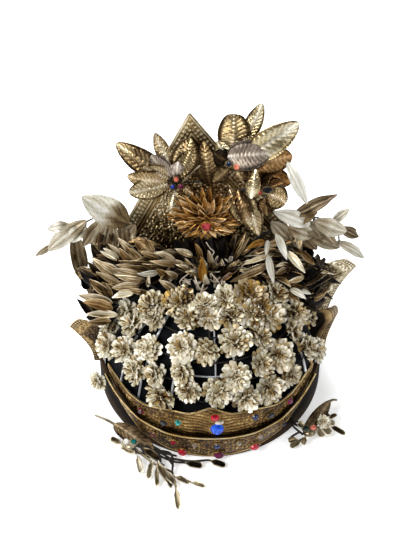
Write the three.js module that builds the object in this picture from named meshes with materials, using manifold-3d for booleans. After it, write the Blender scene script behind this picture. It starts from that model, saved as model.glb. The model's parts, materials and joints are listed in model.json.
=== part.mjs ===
// Wedding headdress: a hollow cloth cap on a leather rim, dressed with rows of gilt flowers,
// sprays of narrow leaves, rosettes of stamped leaves, two embossed diadems set with stones,
// a tall crown plate, side wings and a pair of ear pendants lying beside the rim.
// Millimetres, +Z up, front towards -Y. Azimuth 0 is the front and grows towards +X, in degrees.

import * as THREE from 'three';
import { mergeVertices } from 'three/addons/utils/BufferGeometryUtils.js';
import Module from 'manifold-3d';

const wasm = await Module();
wasm.setup();

// Clearance that neighbouring pieces keep
const GAP = 0.35;
const MERGE_WITHIN = 1e-3;

// Cap: a superelliptic dome of cloth
const CAP_HALF_WIDTH = 85.5;
const CAP_HALF_DEPTH = 95;
const CAP_HEIGHT = 104;
const CAP_ROUNDNESS = 2.3;
const CAP_WALL = 2.5;
const CAP_SIDES = 28;
const CAP_RING_HEIGHTS = [0, 30, 55, 76, 91, 100, 103.2];
const CAP_MIDDLE = new THREE.Vector3(0, 0, 30);

// Rim band round the foot of the cap
const RIM_WALL = 2.6;
const RIM_HEIGHT = 32;

// Wire lattice and the flowers that it carries
const WIRE_RADIUS = 0.8;
const WIRE_SIDES = 5;
const STEM_SIDES = 4;
// Share of a stem's step by which a leaf starts before the step's end, inside the stem
const LEAF_SETBACK = 0.25;
const RIB_CLEARANCE = 0.55;
const RIB_OFFSET = WIRE_RADIUS + RIB_CLEARANCE;
const RIB_AZIMUTHS = [-54, -40, -21, 15, 33, 61];
const RIB_HEIGHTS = [36, 55, 76, 91, 97];
const RIB_STEPS = 5;
const FLOWER_ROOT = RIB_OFFSET + WIRE_RADIUS + GAP;
const HOOP_STEP = 16;
const HOOP_LIFT = 2.8;
const HOOP_OFFSET = FLOWER_ROOT + HOOP_LIFT;
const HOOP_END = 3;
const FLOWER_RADIUS = 9.6;
const FLOWER_LOBES = 5;
const FLOWER_HEART = 1.2;
// Rings of a flower: share of its radius, lift towards the viewer, and how far lobes wave and reach
const FLOWER_RINGS = [
  { share: 0.92, lift: -0.4, wave: 0.6, ruffle: 0.09 },
  { share: 0.5, lift: 2, wave: 0.7, ruffle: 0.06 },
];

// Each flower row: height of its hoop, and for each flower its azimuth, its rise above the hoop
// and how far its face stands off the cap
const FLOWER_ROWS = [
  { height: 96, flowers: [[-52, -2, 11], [-30, 2, 11], [-9, 2, 10], [18, 3, 10], [43, 1, 11], [62, -3, 11]] },
  { height: 87, flowers: [[-68, -6, 9], [-45, -1, 9], [-22, 2, 9], [-4, 3, 9], [20, 3, 9], [35, 2, 9],
    [50, -3, 9]] },
  { height: 75, flowers: [[-74, -7, 9], [-56, 0, 9], [-39, -1, 9], [-20, 4, 9], [-4, 3, 9], [16, 5, 9],
    [33, 4, 9], [62, -1, 9], [75, -6, 9]] },
  { height: 62, flowers: [[-66, -9, 9], [-53, -2, 9], [-42, -6, 9], [-30, 0, 9], [-16, 3, 9], [14, 2, 9],
    [29, 4, 9], [43, 3, 9], [62, -4, 9]] },
  { height: 51, flowers: [[-26, -3, 7], [-8, 5, 7], [5, 4, 7], [18, -2, 7], [31, 1, 7], [47, -1, 7]] },
];

// Diadems: crescent strips whose ends rise and taper to a tip
const STRIP_WALL = 1.3;
const STRIP_STEP = 6;
// Share of a strip's flare that its middle already has
const BELLY_SHARE = 0.35;
const DIADEM_LOWER = { reach: 57, standOff: 1.2, flare: 3.4 };
const DIADEM_LOWER_EDGES = [
  { azimuth: 0, bottom: 4, top: 28 },
  { azimuth: 20, bottom: 6.5, top: 27 },
  { azimuth: 35, bottom: 13, top: 30 },
  { azimuth: 48, bottom: 28, top: 39 },
  { azimuth: 57, bottom: 44, top: 47 },
];
const DIADEM_UPPER = { reach: 58, standOff: 0.5, flare: 0 };
const DIADEM_UPPER_EDGES = [
  { azimuth: 0, bottom: 14, top: 57 },
  { azimuth: 10, bottom: 14.5, top: 49 },
  { azimuth: 22, bottom: 17, top: 48 },
  { azimuth: 33, bottom: 21, top: 43 },
  { azimuth: 42, bottom: 30, top: 45 },
  { azimuth: 50, bottom: 41, top: 51 },
  { azimuth: 58, bottom: 51, top: 54 },
];

// Stones of each strip: place on it, half sizes along and up the strip, and how far they stand out
const STONES_UPPER = [
  { name: 'stone_upper_red', azimuth: 2, height: 48, across: 3.2, up: 3.2, depth: 3, color: 0xa01828 },
  { name: 'stone_upper_blue', azimuth: 3, height: 36, across: 5.6, up: 4.6, depth: 4, color: 0x1742c8 },
  { name: 'stone_upper_teal', azimuth: -15, height: 39, across: 2.4, up: 2.4, depth: 2.4, color: 0x0c8a80 },
  { name: 'stone_upper_black_left', azimuth: -22, height: 34, across: 3.4, up: 2.6, depth: 2, color: 0x17171c },
  { name: 'stone_upper_garnet', azimuth: -34, height: 36, across: 2.8, up: 2.8, depth: 2.4, color: 0x4a0c16 },
  { name: 'stone_upper_navy', azimuth: 21, height: 41, across: 2.8, up: 2.8, depth: 2.4, color: 0x1b2338 },
  { name: 'stone_upper_black_right', azimuth: 29, height: 36, across: 3.4, up: 2.6, depth: 2, color: 0x17171c },
  { name: 'stone_upper_purple', azimuth: 40, height: 39.5, across: 2.6, up: 2.6, depth: 2.4, color: 0x6a1236 },
];
const STONES_LOWER = [
  { name: 'stone_lower_garnet', azimuth: -27, height: 19, across: 2.4, up: 2.4, depth: 2, color: 0x5a0f18 },
  { name: 'stone_lower_rose', azimuth: -17, height: 18, across: 2.4, up: 2.4, depth: 2, color: 0x8c2a30 },
  { name: 'stone_lower_pearl', azimuth: -7, height: 20, across: 2, up: 2, depth: 2, color: 0xcfc8b4 },
  { name: 'stone_lower_navy', azimuth: 3, height: 19, across: 2.8, up: 2.8, depth: 2, color: 0x1b2030 },
  { name: 'stone_lower_crystal', azimuth: 13, height: 20, across: 2, up: 2, depth: 2, color: 0xd8d4c8 },
  { name: 'stone_lower_smoky', azimuth: 23, height: 21, across: 2.4, up: 2.4, depth: 2, color: 0x6a6258 },
  { name: 'stone_lower_black', azimuth: 36, height: 21, across: 2.4, up: 2.4, depth: 2, color: 0x141416 },
  { name: 'drop_red_left', azimuth: -13, height: 7.5, across: 4, up: 3, depth: 3, color: 0xb01a24 },
  { name: 'drop_purple', azimuth: 4, height: 7, across: 4.2, up: 3, depth: 3, color: 0x3a1426 },
  { name: 'drop_red_right', azimuth: 21, height: 9, across: 4, up: 3, depth: 3, color: 0xa81a24 },
];
const STONE_FACETS = 8;
const STONE_TABLE = 0.6;

// Crown plate: a gable standing on the cap, leaning back and a little to one side
const PLATE_FOOT = new THREE.Vector3(-5, 25, 96);
const PLATE_RISE = 117;
const PLATE_HALF_ANGLE = 33.5;
const PLATE_SKIRT = 14;
const PLATE_LEAN = 10;
const PLATE_TILT = 5;
const PLATE_WALL = 1.6;
const RELIEF = 0.5;
const PLATE_RIB_WIDTH = 1.8;
const PLATE_RIB_INSETS = [2, 13];
const PLATE_STUD_RADIUS = 2.6;
const PLATE_STUD_PITCH = 17;
const STUD_SIDES = 4;

// Leaf rosettes: hub place, how far to the right of it its stem stands on the plate, then for each leaf the
// reach of its tip to the right, up and forward from the hub, its width and the share that is bare stalk
const ROSETTE_TILT = 25;
const LEAF_WALL = 1.1;
// A blade's outline: where along it the blade is widest, and how full its sides are
const LEAF_SKEW = 0.85;
const LEAF_FULLNESS = 0.8;
const ROSETTES = [
  {
    name: 'rosette_left', hub: [-24.4, 20, 168], footRight: 0, color: 0x8f7f4e,
    leaves: [
      { right: -44, up: 28, front: -6, width: 17, stalk: 0.1 },
      { right: -16, up: 36, front: -4, width: 12, stalk: 0.3 },
      { right: 11, up: 32, front: -2, width: 21, stalk: 0.1 },
      { right: -36, up: 6, front: 2, width: 15, stalk: 0.1 },
      { right: -35, up: -6, front: 5, width: 15, stalk: 0.1 },
      { right: -19, up: 21, front: 4, width: 13, stalk: 0.1 },
      { right: -11, up: -13, front: 3, width: 10, stalk: 0.1 },
      { right: 13, up: -8, front: 4, width: 9, stalk: 0.1 },
    ],
  },
  {
    name: 'rosette_right', hub: [16.2, 22, 183], footRight: -15, color: 0xa39463,
    leaves: [
      { right: -9, up: 36, front: -4, width: 20, stalk: 0.1 },
      { right: 20, up: 43, front: -6, width: 11, stalk: 0.4 },
      { right: 47, up: 30, front: -2, width: 21, stalk: 0.1 },
      { right: 25, up: 5, front: 6, width: 17, stalk: 0.1 },
      { right: 42, up: 13, front: -4, width: 8, stalk: 0.5 },
      { right: 43, up: -15, front: -8, width: 18, stalk: 0.1 },
      { right: 55, up: -25, front: 2, width: 8, stalk: 0.55 },
      { right: -14, up: 5, front: 2, width: 14, stalk: 0.1 },
    ],
  },
  {
    name: 'rosette_low', hub: [38, 8, 170], footRight: -18, color: 0x86744a,
    leaves: [
      { right: -6, up: 14, front: 4, width: 8, stalk: 0.1 },
      { right: 17, up: -8, front: 2, width: 17, stalk: 0.1 },
      { right: -6, up: -36, front: -2, width: 13, stalk: 0.1 },
      { right: 5, up: -31, front: -4, width: 12, stalk: 0.1 },
      { right: 14, up: 6, front: -2, width: 10, stalk: 0.1 },
    ],
  },
];
const HUB_SIDES = 8;
const ROSETTE_HUB_RADIUS = 6.2;
const ROSETTE_HUB_DEPTH = 6;
const ROSETTE_LEAF_ROOT = 4;
const ROSETTE_LEAF_DEPTH = -1.5;
const ROSETTE_STEM_RADIUS = 1.4;

// Stones on the rosettes: offsets from the hub to the right and up, and half size
const ROSETTE_STONES = [
  { name: 'rosette_left_coral', rosette: 'rosette_left', right: -0.4, up: 3.4, size: 2.4, color: 0xe2806c },
  { name: 'rosette_left_blue', rosette: 'rosette_left', right: -3, up: -2.2, size: 2.2, color: 0x23357e },
  { name: 'rosette_left_purple', rosette: 'rosette_left', right: 2.8, up: -2, size: 2.2, color: 0x4b1730 },
  { name: 'rosette_right_coral', rosette: 'rosette_right', right: 2.8, up: -1, size: 2.6, color: 0xe8876e },
  { name: 'rosette_right_navy', rosette: 'rosette_right', right: -3, up: 1, size: 2.4, color: 0x202743 },
  { name: 'rosette_low_bead', rosette: 'rosette_low', right: 2.8, up: 1.2, size: 2.6, color: 0x2b2b34 },
  { name: 'rosette_low_coral', rosette: 'rosette_low', right: -2.8, up: -0.6, size: 2.2, color: 0xd08070 },
];

// Chrysanthemum: tiers of pointed petals round a stone
const MUM_CENTRE = new THREE.Vector3(-3, 12, 143);
const MUM_PITCH = -15;
const MUM_TIERS = [
  { petals: 12, reach: 26, notch: 14, forward: -2, turn: 0 },
  { petals: 9, reach: 20, notch: 10, forward: 5, turn: 13 },
  { petals: 6, reach: 13, notch: 6, forward: 9, turn: 5 },
];
const MUM_TIER_DEPTH = 3;
const MUM_HUB_RADIUS = 5;
const MUM_HUB_DEPTH = 16;
const MUM_STONE = { size: 3.4, color: 0xb0343a };

// Sprays: each stem runs from the shared foot on the cap through a middle to an end point
const SPRAY_STEM_RADIUS = 1.1;
const SPRAY_LEAF_WIDTH = 6.4;
const SPRAY_BLADE = { rings: 2, fold: 0.3, narrow: true };
const SPRAY_BARE_STEPS = 1;
// Least and most of the spread, rise and length that its leaves vary between
const SPRAY_TURN = [0.6, 1.4];
const SPRAY_RISE = [0.1, 0.35];
const SPRAY_REACH = [0.75, 1.15];
// Share of a leaf's turn at the foot of a stem and at its end
const SPRAY_TURN_ALONG = [1.15, 0.4];
const SPRAYS = [
  {
    name: 'leaf_spray_left', foot: { azimuth: -100, height: 103.2 }, leafLength: 33, spread: 30, leaves: 8,
    stems: [
      { middle: [-38, 0, 118], end: [-66, 2, 112] },
      { middle: [-40, -8, 116], end: [-71, -8, 99] },
      { middle: [-36, -15, 114], end: [-67, -22, 93] },
    ],
  },
  {
    name: 'leaf_spray_right', foot: { azimuth: 100, height: 103.2 }, leafLength: 33, spread: 30, leaves: 8,
    stems: [
      { middle: [38, 0, 118], end: [66, 2, 112] },
      { middle: [40, -8, 116], end: [71, -8, 99] },
      { middle: [36, -15, 114], end: [67, -22, 93] },
    ],
  },
  {
    name: 'leaf_spray_centre', foot: { azimuth: 0, height: 103 }, leafLength: 20, spread: 40, leaves: 3,
    stems: [
      { middle: [-6, -14, 113], end: [-9, -22, 118] },
      { middle: [5, -12, 114], end: [9, -18, 120] },
    ],
  },
];

// Outer leaves: a stem through three points, the first of them before the plate, then for each leaf the share
// of the stem where it starts, its tip and its width
const OUTER_LEAVES = [
  {
    name: 'outer_leaves_left', color: 0xb3a888, stem: [[-58, 19, 126], [-82, 18, 137], [-99, 20, 127]],
    leaves: [
      { share: 1 / 6, tip: [-95, 12, 157], width: 22 },
      { share: 4 / 6, tip: [-123, 16, 106], width: 13 },
      { share: 5.8 / 6, tip: [-134, 18, 99], width: 5 },
      { share: 5 / 6, tip: [-122, 16, 127], width: 9 },
      { share: 3 / 6, tip: [-106, 12, 118], width: 9 },
      { share: 5 / 6, tip: [-101, 30, 80], width: 11 },
    ],
  },
  {
    name: 'outer_leaves_right', color: 0xaaa283, stem: [[46, 20, 128], [70, 18, 138], [96, 20, 130]],
    leaves: [
      { share: 1 / 6, tip: [76, 10, 132], width: 13 },
      { share: 3 / 6, tip: [95, 16, 159], width: 10 },
      { share: 4 / 6, tip: [104, 12, 126], width: 15 },
      { share: 5.8 / 6, tip: [112, 18, 118], width: 9 },
      { share: 5 / 6, tip: [103, 18, 146], width: 8 },
      { share: 3 / 6, tip: [101, 20, 109], width: 13 },
      { share: 5 / 6, tip: [118, 18, 97], width: 8 },
      { share: 0.2 / 6, tip: [73, 17, 86], width: 11 },
    ],
  },
];
const OUTER_STEM_RADIUS = 1.4;
const OUTER_STEM_STEPS = 6;
const OUTER_FACING = new THREE.Vector3(0, -0.75, 0.66);

// Wing plates at the sides: place in depth, height span, inner edge, reach and height of the pointed tip
const WING_WALL = 1.5;
const WING_CURL = 9;
const WING_CURVE_STEPS = 5;
// Shares of a wing's breadth and height at which its outline turns, and how far its crest stands up and leans
const WING_SHOULDER = 0.5;
const WING_WAIST = 0.36;
const WING_HOLLOW = 0.72;
const WING_CREST = 3;
const WING_CREST_LEAN = 4;
const WING_CREST_START = 2;
const WING_BACK_DROP = 4;
const WING_FOOT = RIM_HEIGHT + GAP;
const WINGS = [
  { name: 'wing_upper_right', side: 1, y: 8, foot: WING_FOOT, top: 103, inner: 85.8, tip: 113, tipHeight: 91 },
  { name: 'wing_lower_right', side: 1, y: -14, foot: 25, top: 75, inner: 87.4, tip: 99, tipHeight: 63 },
  { name: 'wing_upper_left', side: -1, y: 8, foot: WING_FOOT, top: 95, inner: 85.8, tip: 105, tipHeight: 84 },
  { name: 'wing_lower_left', side: -1, y: -14, foot: 18, top: 61, inner: 87.4, tip: 110, tipHeight: 47 },
];

// Ear pendants lying beside the rim: a leaf panel, a pad linked to the rim, twigs through points, and
// paddle-shaped drops, each starting at one of a twig's steps
const TWIG_RADIUS = 1.1;
const TWIG_STEPS = 3;
const PADDLE_BLADE = { rings: 1, bow: 0, wall: 1.6, narrow: true };
const PANEL_BLADE = { wall: 2, bow: 0, fold: 0.1 };
const PENDANT_FACING = new THREE.Vector3(0, -0.4, 0.92);
const PENDANT_PAD = { radius: 5.4, depth: 6.4 };
const LINK_HEIGHT = 6;
const PENDANTS = [
  {
    name: 'ear_pendant_left', color: 0x6e5f38,
    panel: { start: [-83, -70, 8], tip: [-50, -104, 6], width: 15 }, pad: [-60, -92, 7], linkAzimuth: -36,
    twigs: [
      [[-80, -73, 8], [-92, -66, 9], [-100, -62, 10]],
      [[-66, -88, 6], [-42, -114, 3.5], [-27, -130, 3], [-25, -144, 3]],
      [[-66, -88, 6], [-30, -108.5, 3.5], [-6, -110, 2.6], [12, -114, 2.6]],
      [[-31, -126, 3], [-18, -127, 3], [-3, -132, 3]],
    ],
    paddles: [
      { twig: 1, step: 1, tip: [-78, -94, 3], width: 6 },
      { twig: 1, step: 1, tip: [-62, -112, 3], width: 5 },
      { twig: 1, step: 2, tip: [-55, -121, 2.5], width: 5 },
      { twig: 1, step: 2, tip: [-45, -129, 2.5], width: 5 },
      { twig: 1, step: 2, tip: [-36, -134, 2.5], width: 5 },
      { twig: 1, step: 2, tip: [-26, -119, 2.5], width: 5 },
      { twig: 3, step: 2, tip: [-6, -124, 2.5], width: 4 },
      { twig: 1, step: 3, tip: [-22, -151, 2.5], width: 5 },
      { twig: 2, step: 2, tip: [-8, -106, 2.5], width: 4 },
    ],
  },
  {
    name: 'ear_pendant_right', color: 0x7a6a40,
    panel: { start: [66, -92, 6], tip: [98, -55, 11], width: 14 }, pad: [75, -80, 8], linkAzimuth: 45,
    twigs: [
      [[95, -59, 11], [101, -54, 14], [105, -52, 17]],
      [[80, -78, 7], [90, -74, 8], [97, -72, 8]],
      [[72, -86, 6], [64, -95, 5], [60, -99, 4]],
    ],
    paddles: [
      { twig: 1, step: 3, tip: [105, -68, 9], width: 6 },
      { twig: 1, step: 3, tip: [105, -78, 7], width: 6 },
      { twig: 1, step: 2, tip: [97, -85, 5], width: 6 },
      { twig: 1, step: 2, tip: [97, -64, 10], width: 6 },
      { twig: 2, step: 2, tip: [67, -101, 3], width: 5 },
      { twig: 2, step: 1, tip: [79, -97, 3], width: 5 },
    ],
  },
];
const PENDANT_STONES = [
  { name: 'pendant_left_bead', carrier: 'left', right: -2.8, front: 0.4, size: 2.5, color: 0xe6e2da },
  { name: 'pendant_left_teal', carrier: 'left', right: 2.8, front: 0.4, size: 2.3, color: 0x0f5a55 },
  { name: 'pendant_right_coral', carrier: 'right', right: 2.8, front: -0.4, size: 2.4, color: 0xc9534a },
  { name: 'pendant_right_green', carrier: 'right', right: -2.8, front: 0.4, size: 2.4, color: 0x14231d },
];

// One flower low at the side of the rim
const SIDE_FLOWER = { azimuth: -66, height: 24, reach: 8 };

const GILT_ROUGHNESS = 0.42;
const GILT_METALNESS = 0.9;
const STONE_ROUGHNESS = 0.15;

const UP = new THREE.Vector3(0, 0, 1);
const RIGHT = new THREE.Vector3(1, 0, 0);
const FRONT = new THREE.Vector3(0, -1, 0);

function radians(degrees) {
  return THREE.MathUtils.degToRad(degrees);
}

function at([x, y, z]) {
  return new THREE.Vector3(x, y, z);
}

// A repeatable spread of values between a least and a most, for irregular leaves
function vary(index, channel, [least, most]) {
  const value = Math.sin(index * 12.9898 + channel * 78.233) * 43758.5453;
  return THREE.MathUtils.lerp(least, most, value - Math.floor(value));
}

// Closed surface through sections, each a ring of points or a single point
function loft(sections, closed = false) {
  const points = sections.flat();
  const starts = [];
  let total = 0;
  sections.forEach((section) => {
    starts.push(total);
    total += section.length;
  });
  const faces = [];
  const spans = closed ? sections.length : sections.length - 1;
  for (let i = 0; i < spans; i += 1) {
    const j = (i + 1) % sections.length;
    const near = sections[i].length;
    const far = sections[j].length;
    const sides = Math.max(near, far);
    for (let k = 0; k < sides; k += 1) {
      const next = (k + 1) % sides;
      const a = starts[i] + (near > 1 ? k : 0);
      const b = starts[i] + (near > 1 ? next : 0);
      const c = starts[j] + (far > 1 ? next : 0);
      const d = starts[j] + (far > 1 ? k : 0);
      if (near > 1) faces.push([a, b, c]);
      if (far > 1) faces.push([a, c, d]);
    }
  }
  if (!closed) {
    const end = sections.length - 1;
    for (let k = 1; k < sections[0].length - 1; k += 1) faces.push([0, k + 1, k]);
    const cap = starts[end];
    for (let k = 1; k < sections[end].length - 1; k += 1) faces.push([cap, cap + k, cap + k + 1]);
  }
  const volume = faces.reduce((sum, [a, b, c]) => (
    sum + points[a].dot(new THREE.Vector3().crossVectors(points[b], points[c]))
  ), 0);
  const order = volume < 0 ? faces.map(([a, b, c]) => [a, c, b]) : faces;
  const geometry = new THREE.BufferGeometry().setFromPoints(points);
  geometry.setIndex(order.flat());
  return geometry;
}

// A mirrored surface has its faces turned round again, to point outwards
function turnedOut(geometry) {
  const bare = geometry.clone();
  bare.deleteAttribute('normal');
  bare.deleteAttribute('uv');
  const merged = mergeVertices(bare, MERGE_WITHIN);
  const order = merged.index.array;
  for (let k = 0; k < order.length; k += 3) [order[k], order[k + 1]] = [order[k + 1], order[k]];
  return merged;
}

function toSolid(geometry) {
  const bare = geometry.clone();
  bare.deleteAttribute('normal');
  bare.deleteAttribute('uv');
  const merged = mergeVertices(bare, MERGE_WITHIN);
  return new wasm.Manifold(new wasm.Mesh({
    numProp: 3,
    vertProperties: new Float32Array(merged.attributes.position.array),
    triVerts: new Uint32Array(merged.index.array),
  }));
}

function toGeometry(solid) {
  const mesh = solid.getMesh();
  const geometry = new THREE.BufferGeometry();
  geometry.setAttribute('position', new THREE.BufferAttribute(new Float32Array(mesh.vertProperties), 3));
  geometry.setIndex(new THREE.BufferAttribute(new Uint32Array(mesh.triVerts), 1));
  return geometry;
}

function fuse(geometries) {
  return toGeometry(geometries.map(toSolid).reduce((whole, piece) => whole.add(piece)));
}

// Point on the cap's outer surface, moved outwards along the surface normal
function onCap(azimuth, height, offset = 0, shrink = 0) {
  const halfWidth = CAP_HALF_WIDTH - shrink;
  const halfDepth = CAP_HALF_DEPTH - shrink;
  const top = CAP_HEIGHT - shrink;
  const level = Math.min(height / top, 1);
  const spread = (1 - level ** CAP_ROUNDNESS) ** (1 / CAP_ROUNDNESS);
  const point = new THREE.Vector3(
    halfWidth * spread * Math.sin(radians(azimuth)),
    -halfDepth * spread * Math.cos(radians(azimuth)),
    level * top,
  );
  const around = (spread || 1e-6) ** (CAP_ROUNDNESS - 2);
  const normal = new THREE.Vector3(
    around * point.x / halfWidth ** 2,
    around * point.y / halfDepth ** 2,
    level ** (CAP_ROUNDNESS - 1) / top,
  ).normalize();
  return point.addScaledVector(normal, offset);
}

// Point on an upright elliptical wall that stands outside the rim band
function onWall(azimuth, height, standOff) {
  const halfWidth = CAP_HALF_WIDTH + GAP + RIM_WALL + standOff;
  const halfDepth = CAP_HALF_DEPTH + GAP + RIM_WALL + standOff;
  const angle = radians(azimuth);
  return new THREE.Vector3(halfWidth * Math.sin(angle), -halfDepth * Math.cos(angle), height);
}

function wallNormal(azimuth) {
  return new THREE.Vector3(
    Math.sin(radians(azimuth)) / CAP_HALF_WIDTH,
    -Math.cos(radians(azimuth)) / CAP_HALF_DEPTH,
    0,
  ).normalize();
}

function route(points) {
  return new THREE.CatmullRomCurve3(points);
}

// Round wire along a curve, as a polygon section drawn in steps of equal length
function wire(path, radius, steps, sides = WIRE_SIDES) {
  const section = new THREE.Shape();
  for (let k = 0; k < sides; k += 1) {
    const angle = 2 * Math.PI * k / sides;
    const x = radius * Math.cos(angle);
    const y = radius * Math.sin(angle);
    if (k === 0) section.moveTo(x, y);
    else section.lineTo(x, y);
  }
  section.closePath();
  return new THREE.ExtrudeGeometry(section, { steps, extrudePath: path, bevelEnabled: false });
}

// Leaf blade of diamond section from its start to its tip: face is the side that it shows, stalk the share
// that is bare, bow lifts its middle towards the face and fold raises its edges; a narrow leaf is a plain V
function leaf(start, tip, width, face, {
  stalk = 0, bow = 0.08, fold = 0.2, wall = LEAF_WALL, rings = 3, narrow = false,
} = {}) {
  const run = new THREE.Vector3().subVectors(tip, start);
  const reach = run.length();
  const along = run.clone().normalize();
  const lift = face.clone().addScaledVector(along, -face.dot(along)).normalize();
  const across = new THREE.Vector3().crossVectors(along, lift);
  const ring = (share, half) => {
    const rise = bow * reach * 4 * share * (1 - share);
    const middle = start.clone().addScaledVector(run, share).addScaledVector(lift, rise);
    const left = middle.clone().addScaledVector(across, -half).addScaledVector(lift, fold * half);
    const right = middle.clone().addScaledVector(across, half).addScaledVector(lift, fold * half);
    const front = middle.clone().addScaledVector(lift, wall / 2);
    const back = middle.clone().addScaledVector(lift, -wall / 2);
    return narrow ? [left, right, back] : [left, front, right, back];
  };
  const blade = Array.from({ length: rings }, (_, k) => {
    const place = (k + 1) / (rings + 1);
    const half = width / 2 * Math.sin(Math.PI * place ** LEAF_SKEW) ** LEAF_FULLNESS;
    return ring(stalk + (1 - stalk) * place, half);
  });
  const neck = stalk > 0 ? [ring(stalk, wall)] : [];
  return loft([[start], ...neck, ...blade, [tip]]);
}

// Ruffled flower: a cone from its root that opens into a lobed, wavy rim round a raised heart
function flower(root, centre, facing, radius) {
  const sideways = new THREE.Vector3().crossVectors(facing, Math.abs(facing.z) > 0.9 ? FRONT : UP).normalize();
  const upwards = new THREE.Vector3().crossVectors(sideways, facing);
  const count = 2 * FLOWER_LOBES;
  const ring = ({ share, lift, wave, ruffle }) => Array.from({ length: count }, (_, k) => {
    const angle = 2 * Math.PI * k / count;
    const lobe = k % 2 === 0 ? 1 : -1;
    const reach = radius * share * (1 + ruffle * lobe);
    return centre.clone()
      .addScaledVector(sideways, reach * Math.cos(angle))
      .addScaledVector(upwards, reach * Math.sin(angle))
      .addScaledVector(facing, lift + wave * lobe);
  });
  const heart = centre.clone().addScaledVector(facing, FLOWER_HEART);
  return loft([[root], ...FLOWER_RINGS.map(ring), [heart]]);
}

// Flat-backed stone on a seat: girdle, sloping crown facets and flat table
function stone(seat, out, along, sizes) {
  const upwards = new THREE.Vector3().crossVectors(out, along);
  const ring = (share, depth) => Array.from({ length: STONE_FACETS }, (_, k) => {
    const angle = 2 * Math.PI * (k + 0.5) / STONE_FACETS;
    return seat.clone()
      .addScaledVector(along, sizes.across * share * Math.cos(angle))
      .addScaledVector(upwards, sizes.up * share * Math.sin(angle))
      .addScaledVector(out, depth);
  });
  return loft([ring(1, 0), ring(STONE_TABLE, sizes.depth)]);
}

function cushion(seat, out, along, size) {
  return stone(seat, out, along, { across: size, up: size, depth: size });
}

const headdress = new THREE.Group();

function addPiece(name, geometry, color, roughness, metalness) {
  const material = new THREE.MeshStandardMaterial({ color, roughness, metalness });
  const mesh = new THREE.Mesh(geometry, material);
  mesh.name = name;
  headdress.add(mesh);
}

function addGilt(name, geometry, color) {
  addPiece(name, geometry, color, GILT_ROUGHNESS, GILT_METALNESS);
}

function addStone(name, geometry, color) {
  addPiece(name, geometry, color, STONE_ROUGHNESS, 0);
}

function capShell() {
  const ring = (height, shrink) => Array.from({ length: CAP_SIDES }, (_, k) => (
    onCap(360 * k / CAP_SIDES, height, 0, shrink)
  ));
  const outer = CAP_RING_HEIGHTS.map((height) => ring(height, 0));
  const inner = CAP_RING_HEIGHTS.map((height) => ring(height * (CAP_HEIGHT - CAP_WALL) / CAP_HEIGHT, CAP_WALL));
  return loft([
    [new THREE.Vector3(0, 0, CAP_HEIGHT)],
    ...outer.reverse(),
    ...inner,
    [new THREE.Vector3(0, 0, CAP_HEIGHT - CAP_WALL)],
  ]);
}

function rimBand() {
  const sections = Array.from({ length: CAP_SIDES }, (_, k) => {
    const azimuth = 360 * k / CAP_SIDES;
    return [
      onWall(azimuth, 0, -RIM_WALL),
      onWall(azimuth, 0, 0),
      onWall(azimuth, RIM_HEIGHT, 0),
      onWall(azimuth, RIM_HEIGHT, -RIM_WALL),
    ];
  });
  return loft(sections, true);
}

function flowerLattice() {
  const ribs = RIB_AZIMUTHS.map((azimuth) => {
    const path = route(RIB_HEIGHTS.map((height) => onCap(azimuth, height, RIB_OFFSET)));
    return wire(path, WIRE_RADIUS, RIB_STEPS, STEM_SIDES);
  });
  const first = RIB_AZIMUTHS[0];
  const last = RIB_AZIMUTHS[RIB_AZIMUTHS.length - 1];
  const steps = Math.round((last - first) / (360 / CAP_SIDES));
  const tie = Array.from({ length: steps + 1 }, (_, k) => (
    onCap(THREE.MathUtils.lerp(first, last, k / steps), RIB_HEIGHTS[0], RIB_OFFSET)
  ));
  return fuse([...ribs, wire(route(tie), WIRE_RADIUS, steps, STEM_SIDES)]);
}

function flowerRow({ height, flowers }) {
  const azimuths = flowers.map(([azimuth]) => azimuth);
  const first = Math.min(...azimuths) - HOOP_END;
  const last = Math.max(...azimuths) + HOOP_END;
  const steps = Math.ceil((last - first) / HOOP_STEP);
  const hoop = Array.from({ length: steps + 1 }, (_, k) => (
    onCap(THREE.MathUtils.lerp(first, last, k / steps), height, HOOP_OFFSET)
  ));
  const heads = flowers.map(([azimuth, rise, reach]) => {
    const root = onCap(azimuth, height, FLOWER_ROOT);
    const foot = onCap(azimuth, height + rise, 0);
    const centre = onCap(azimuth, height + rise, reach);
    const facing = new THREE.Vector3().subVectors(centre, foot).normalize();
    return flower(root, centre, facing, FLOWER_RADIUS);
  });
  return fuse([wire(route(hoop), WIRE_RADIUS, steps, STEM_SIDES), ...heads]);
}

// Edge height of a diadem at an azimuth, smoothed between the rows of its table
function edgeHeight(edges, azimuth, edge) {
  const reach = Math.abs(azimuth);
  const upper = edges.findIndex((row) => row.azimuth >= reach);
  if (upper <= 0) return edges[0][edge];
  const [from, to] = [edges[upper - 1], edges[upper]];
  return THREE.MathUtils.mapLinear(reach, from.azimuth, to.azimuth, from[edge], to[edge]);
}

function diadem(shape, edges) {
  const steps = 2 * Math.round(shape.reach / STRIP_STEP);
  const sections = Array.from({ length: steps + 1 }, (_, k) => {
    const azimuth = shape.reach * (2 * k / steps - 1);
    const bottom = edgeHeight(edges, azimuth, 'bottom');
    const top = edgeHeight(edges, azimuth, 'top');
    const middle = (bottom + top) / 2;
    const belly = shape.standOff + shape.flare * BELLY_SHARE;
    return [
      onWall(azimuth, bottom, shape.standOff),
      onWall(azimuth, bottom, shape.standOff + STRIP_WALL),
      onWall(azimuth, middle, belly + STRIP_WALL + RELIEF),
      onWall(azimuth, top, shape.standOff + shape.flare + STRIP_WALL),
      onWall(azimuth, top, shape.standOff + shape.flare),
      onWall(azimuth, middle, belly),
    ];
  });
  return loft(sections);
}

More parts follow.
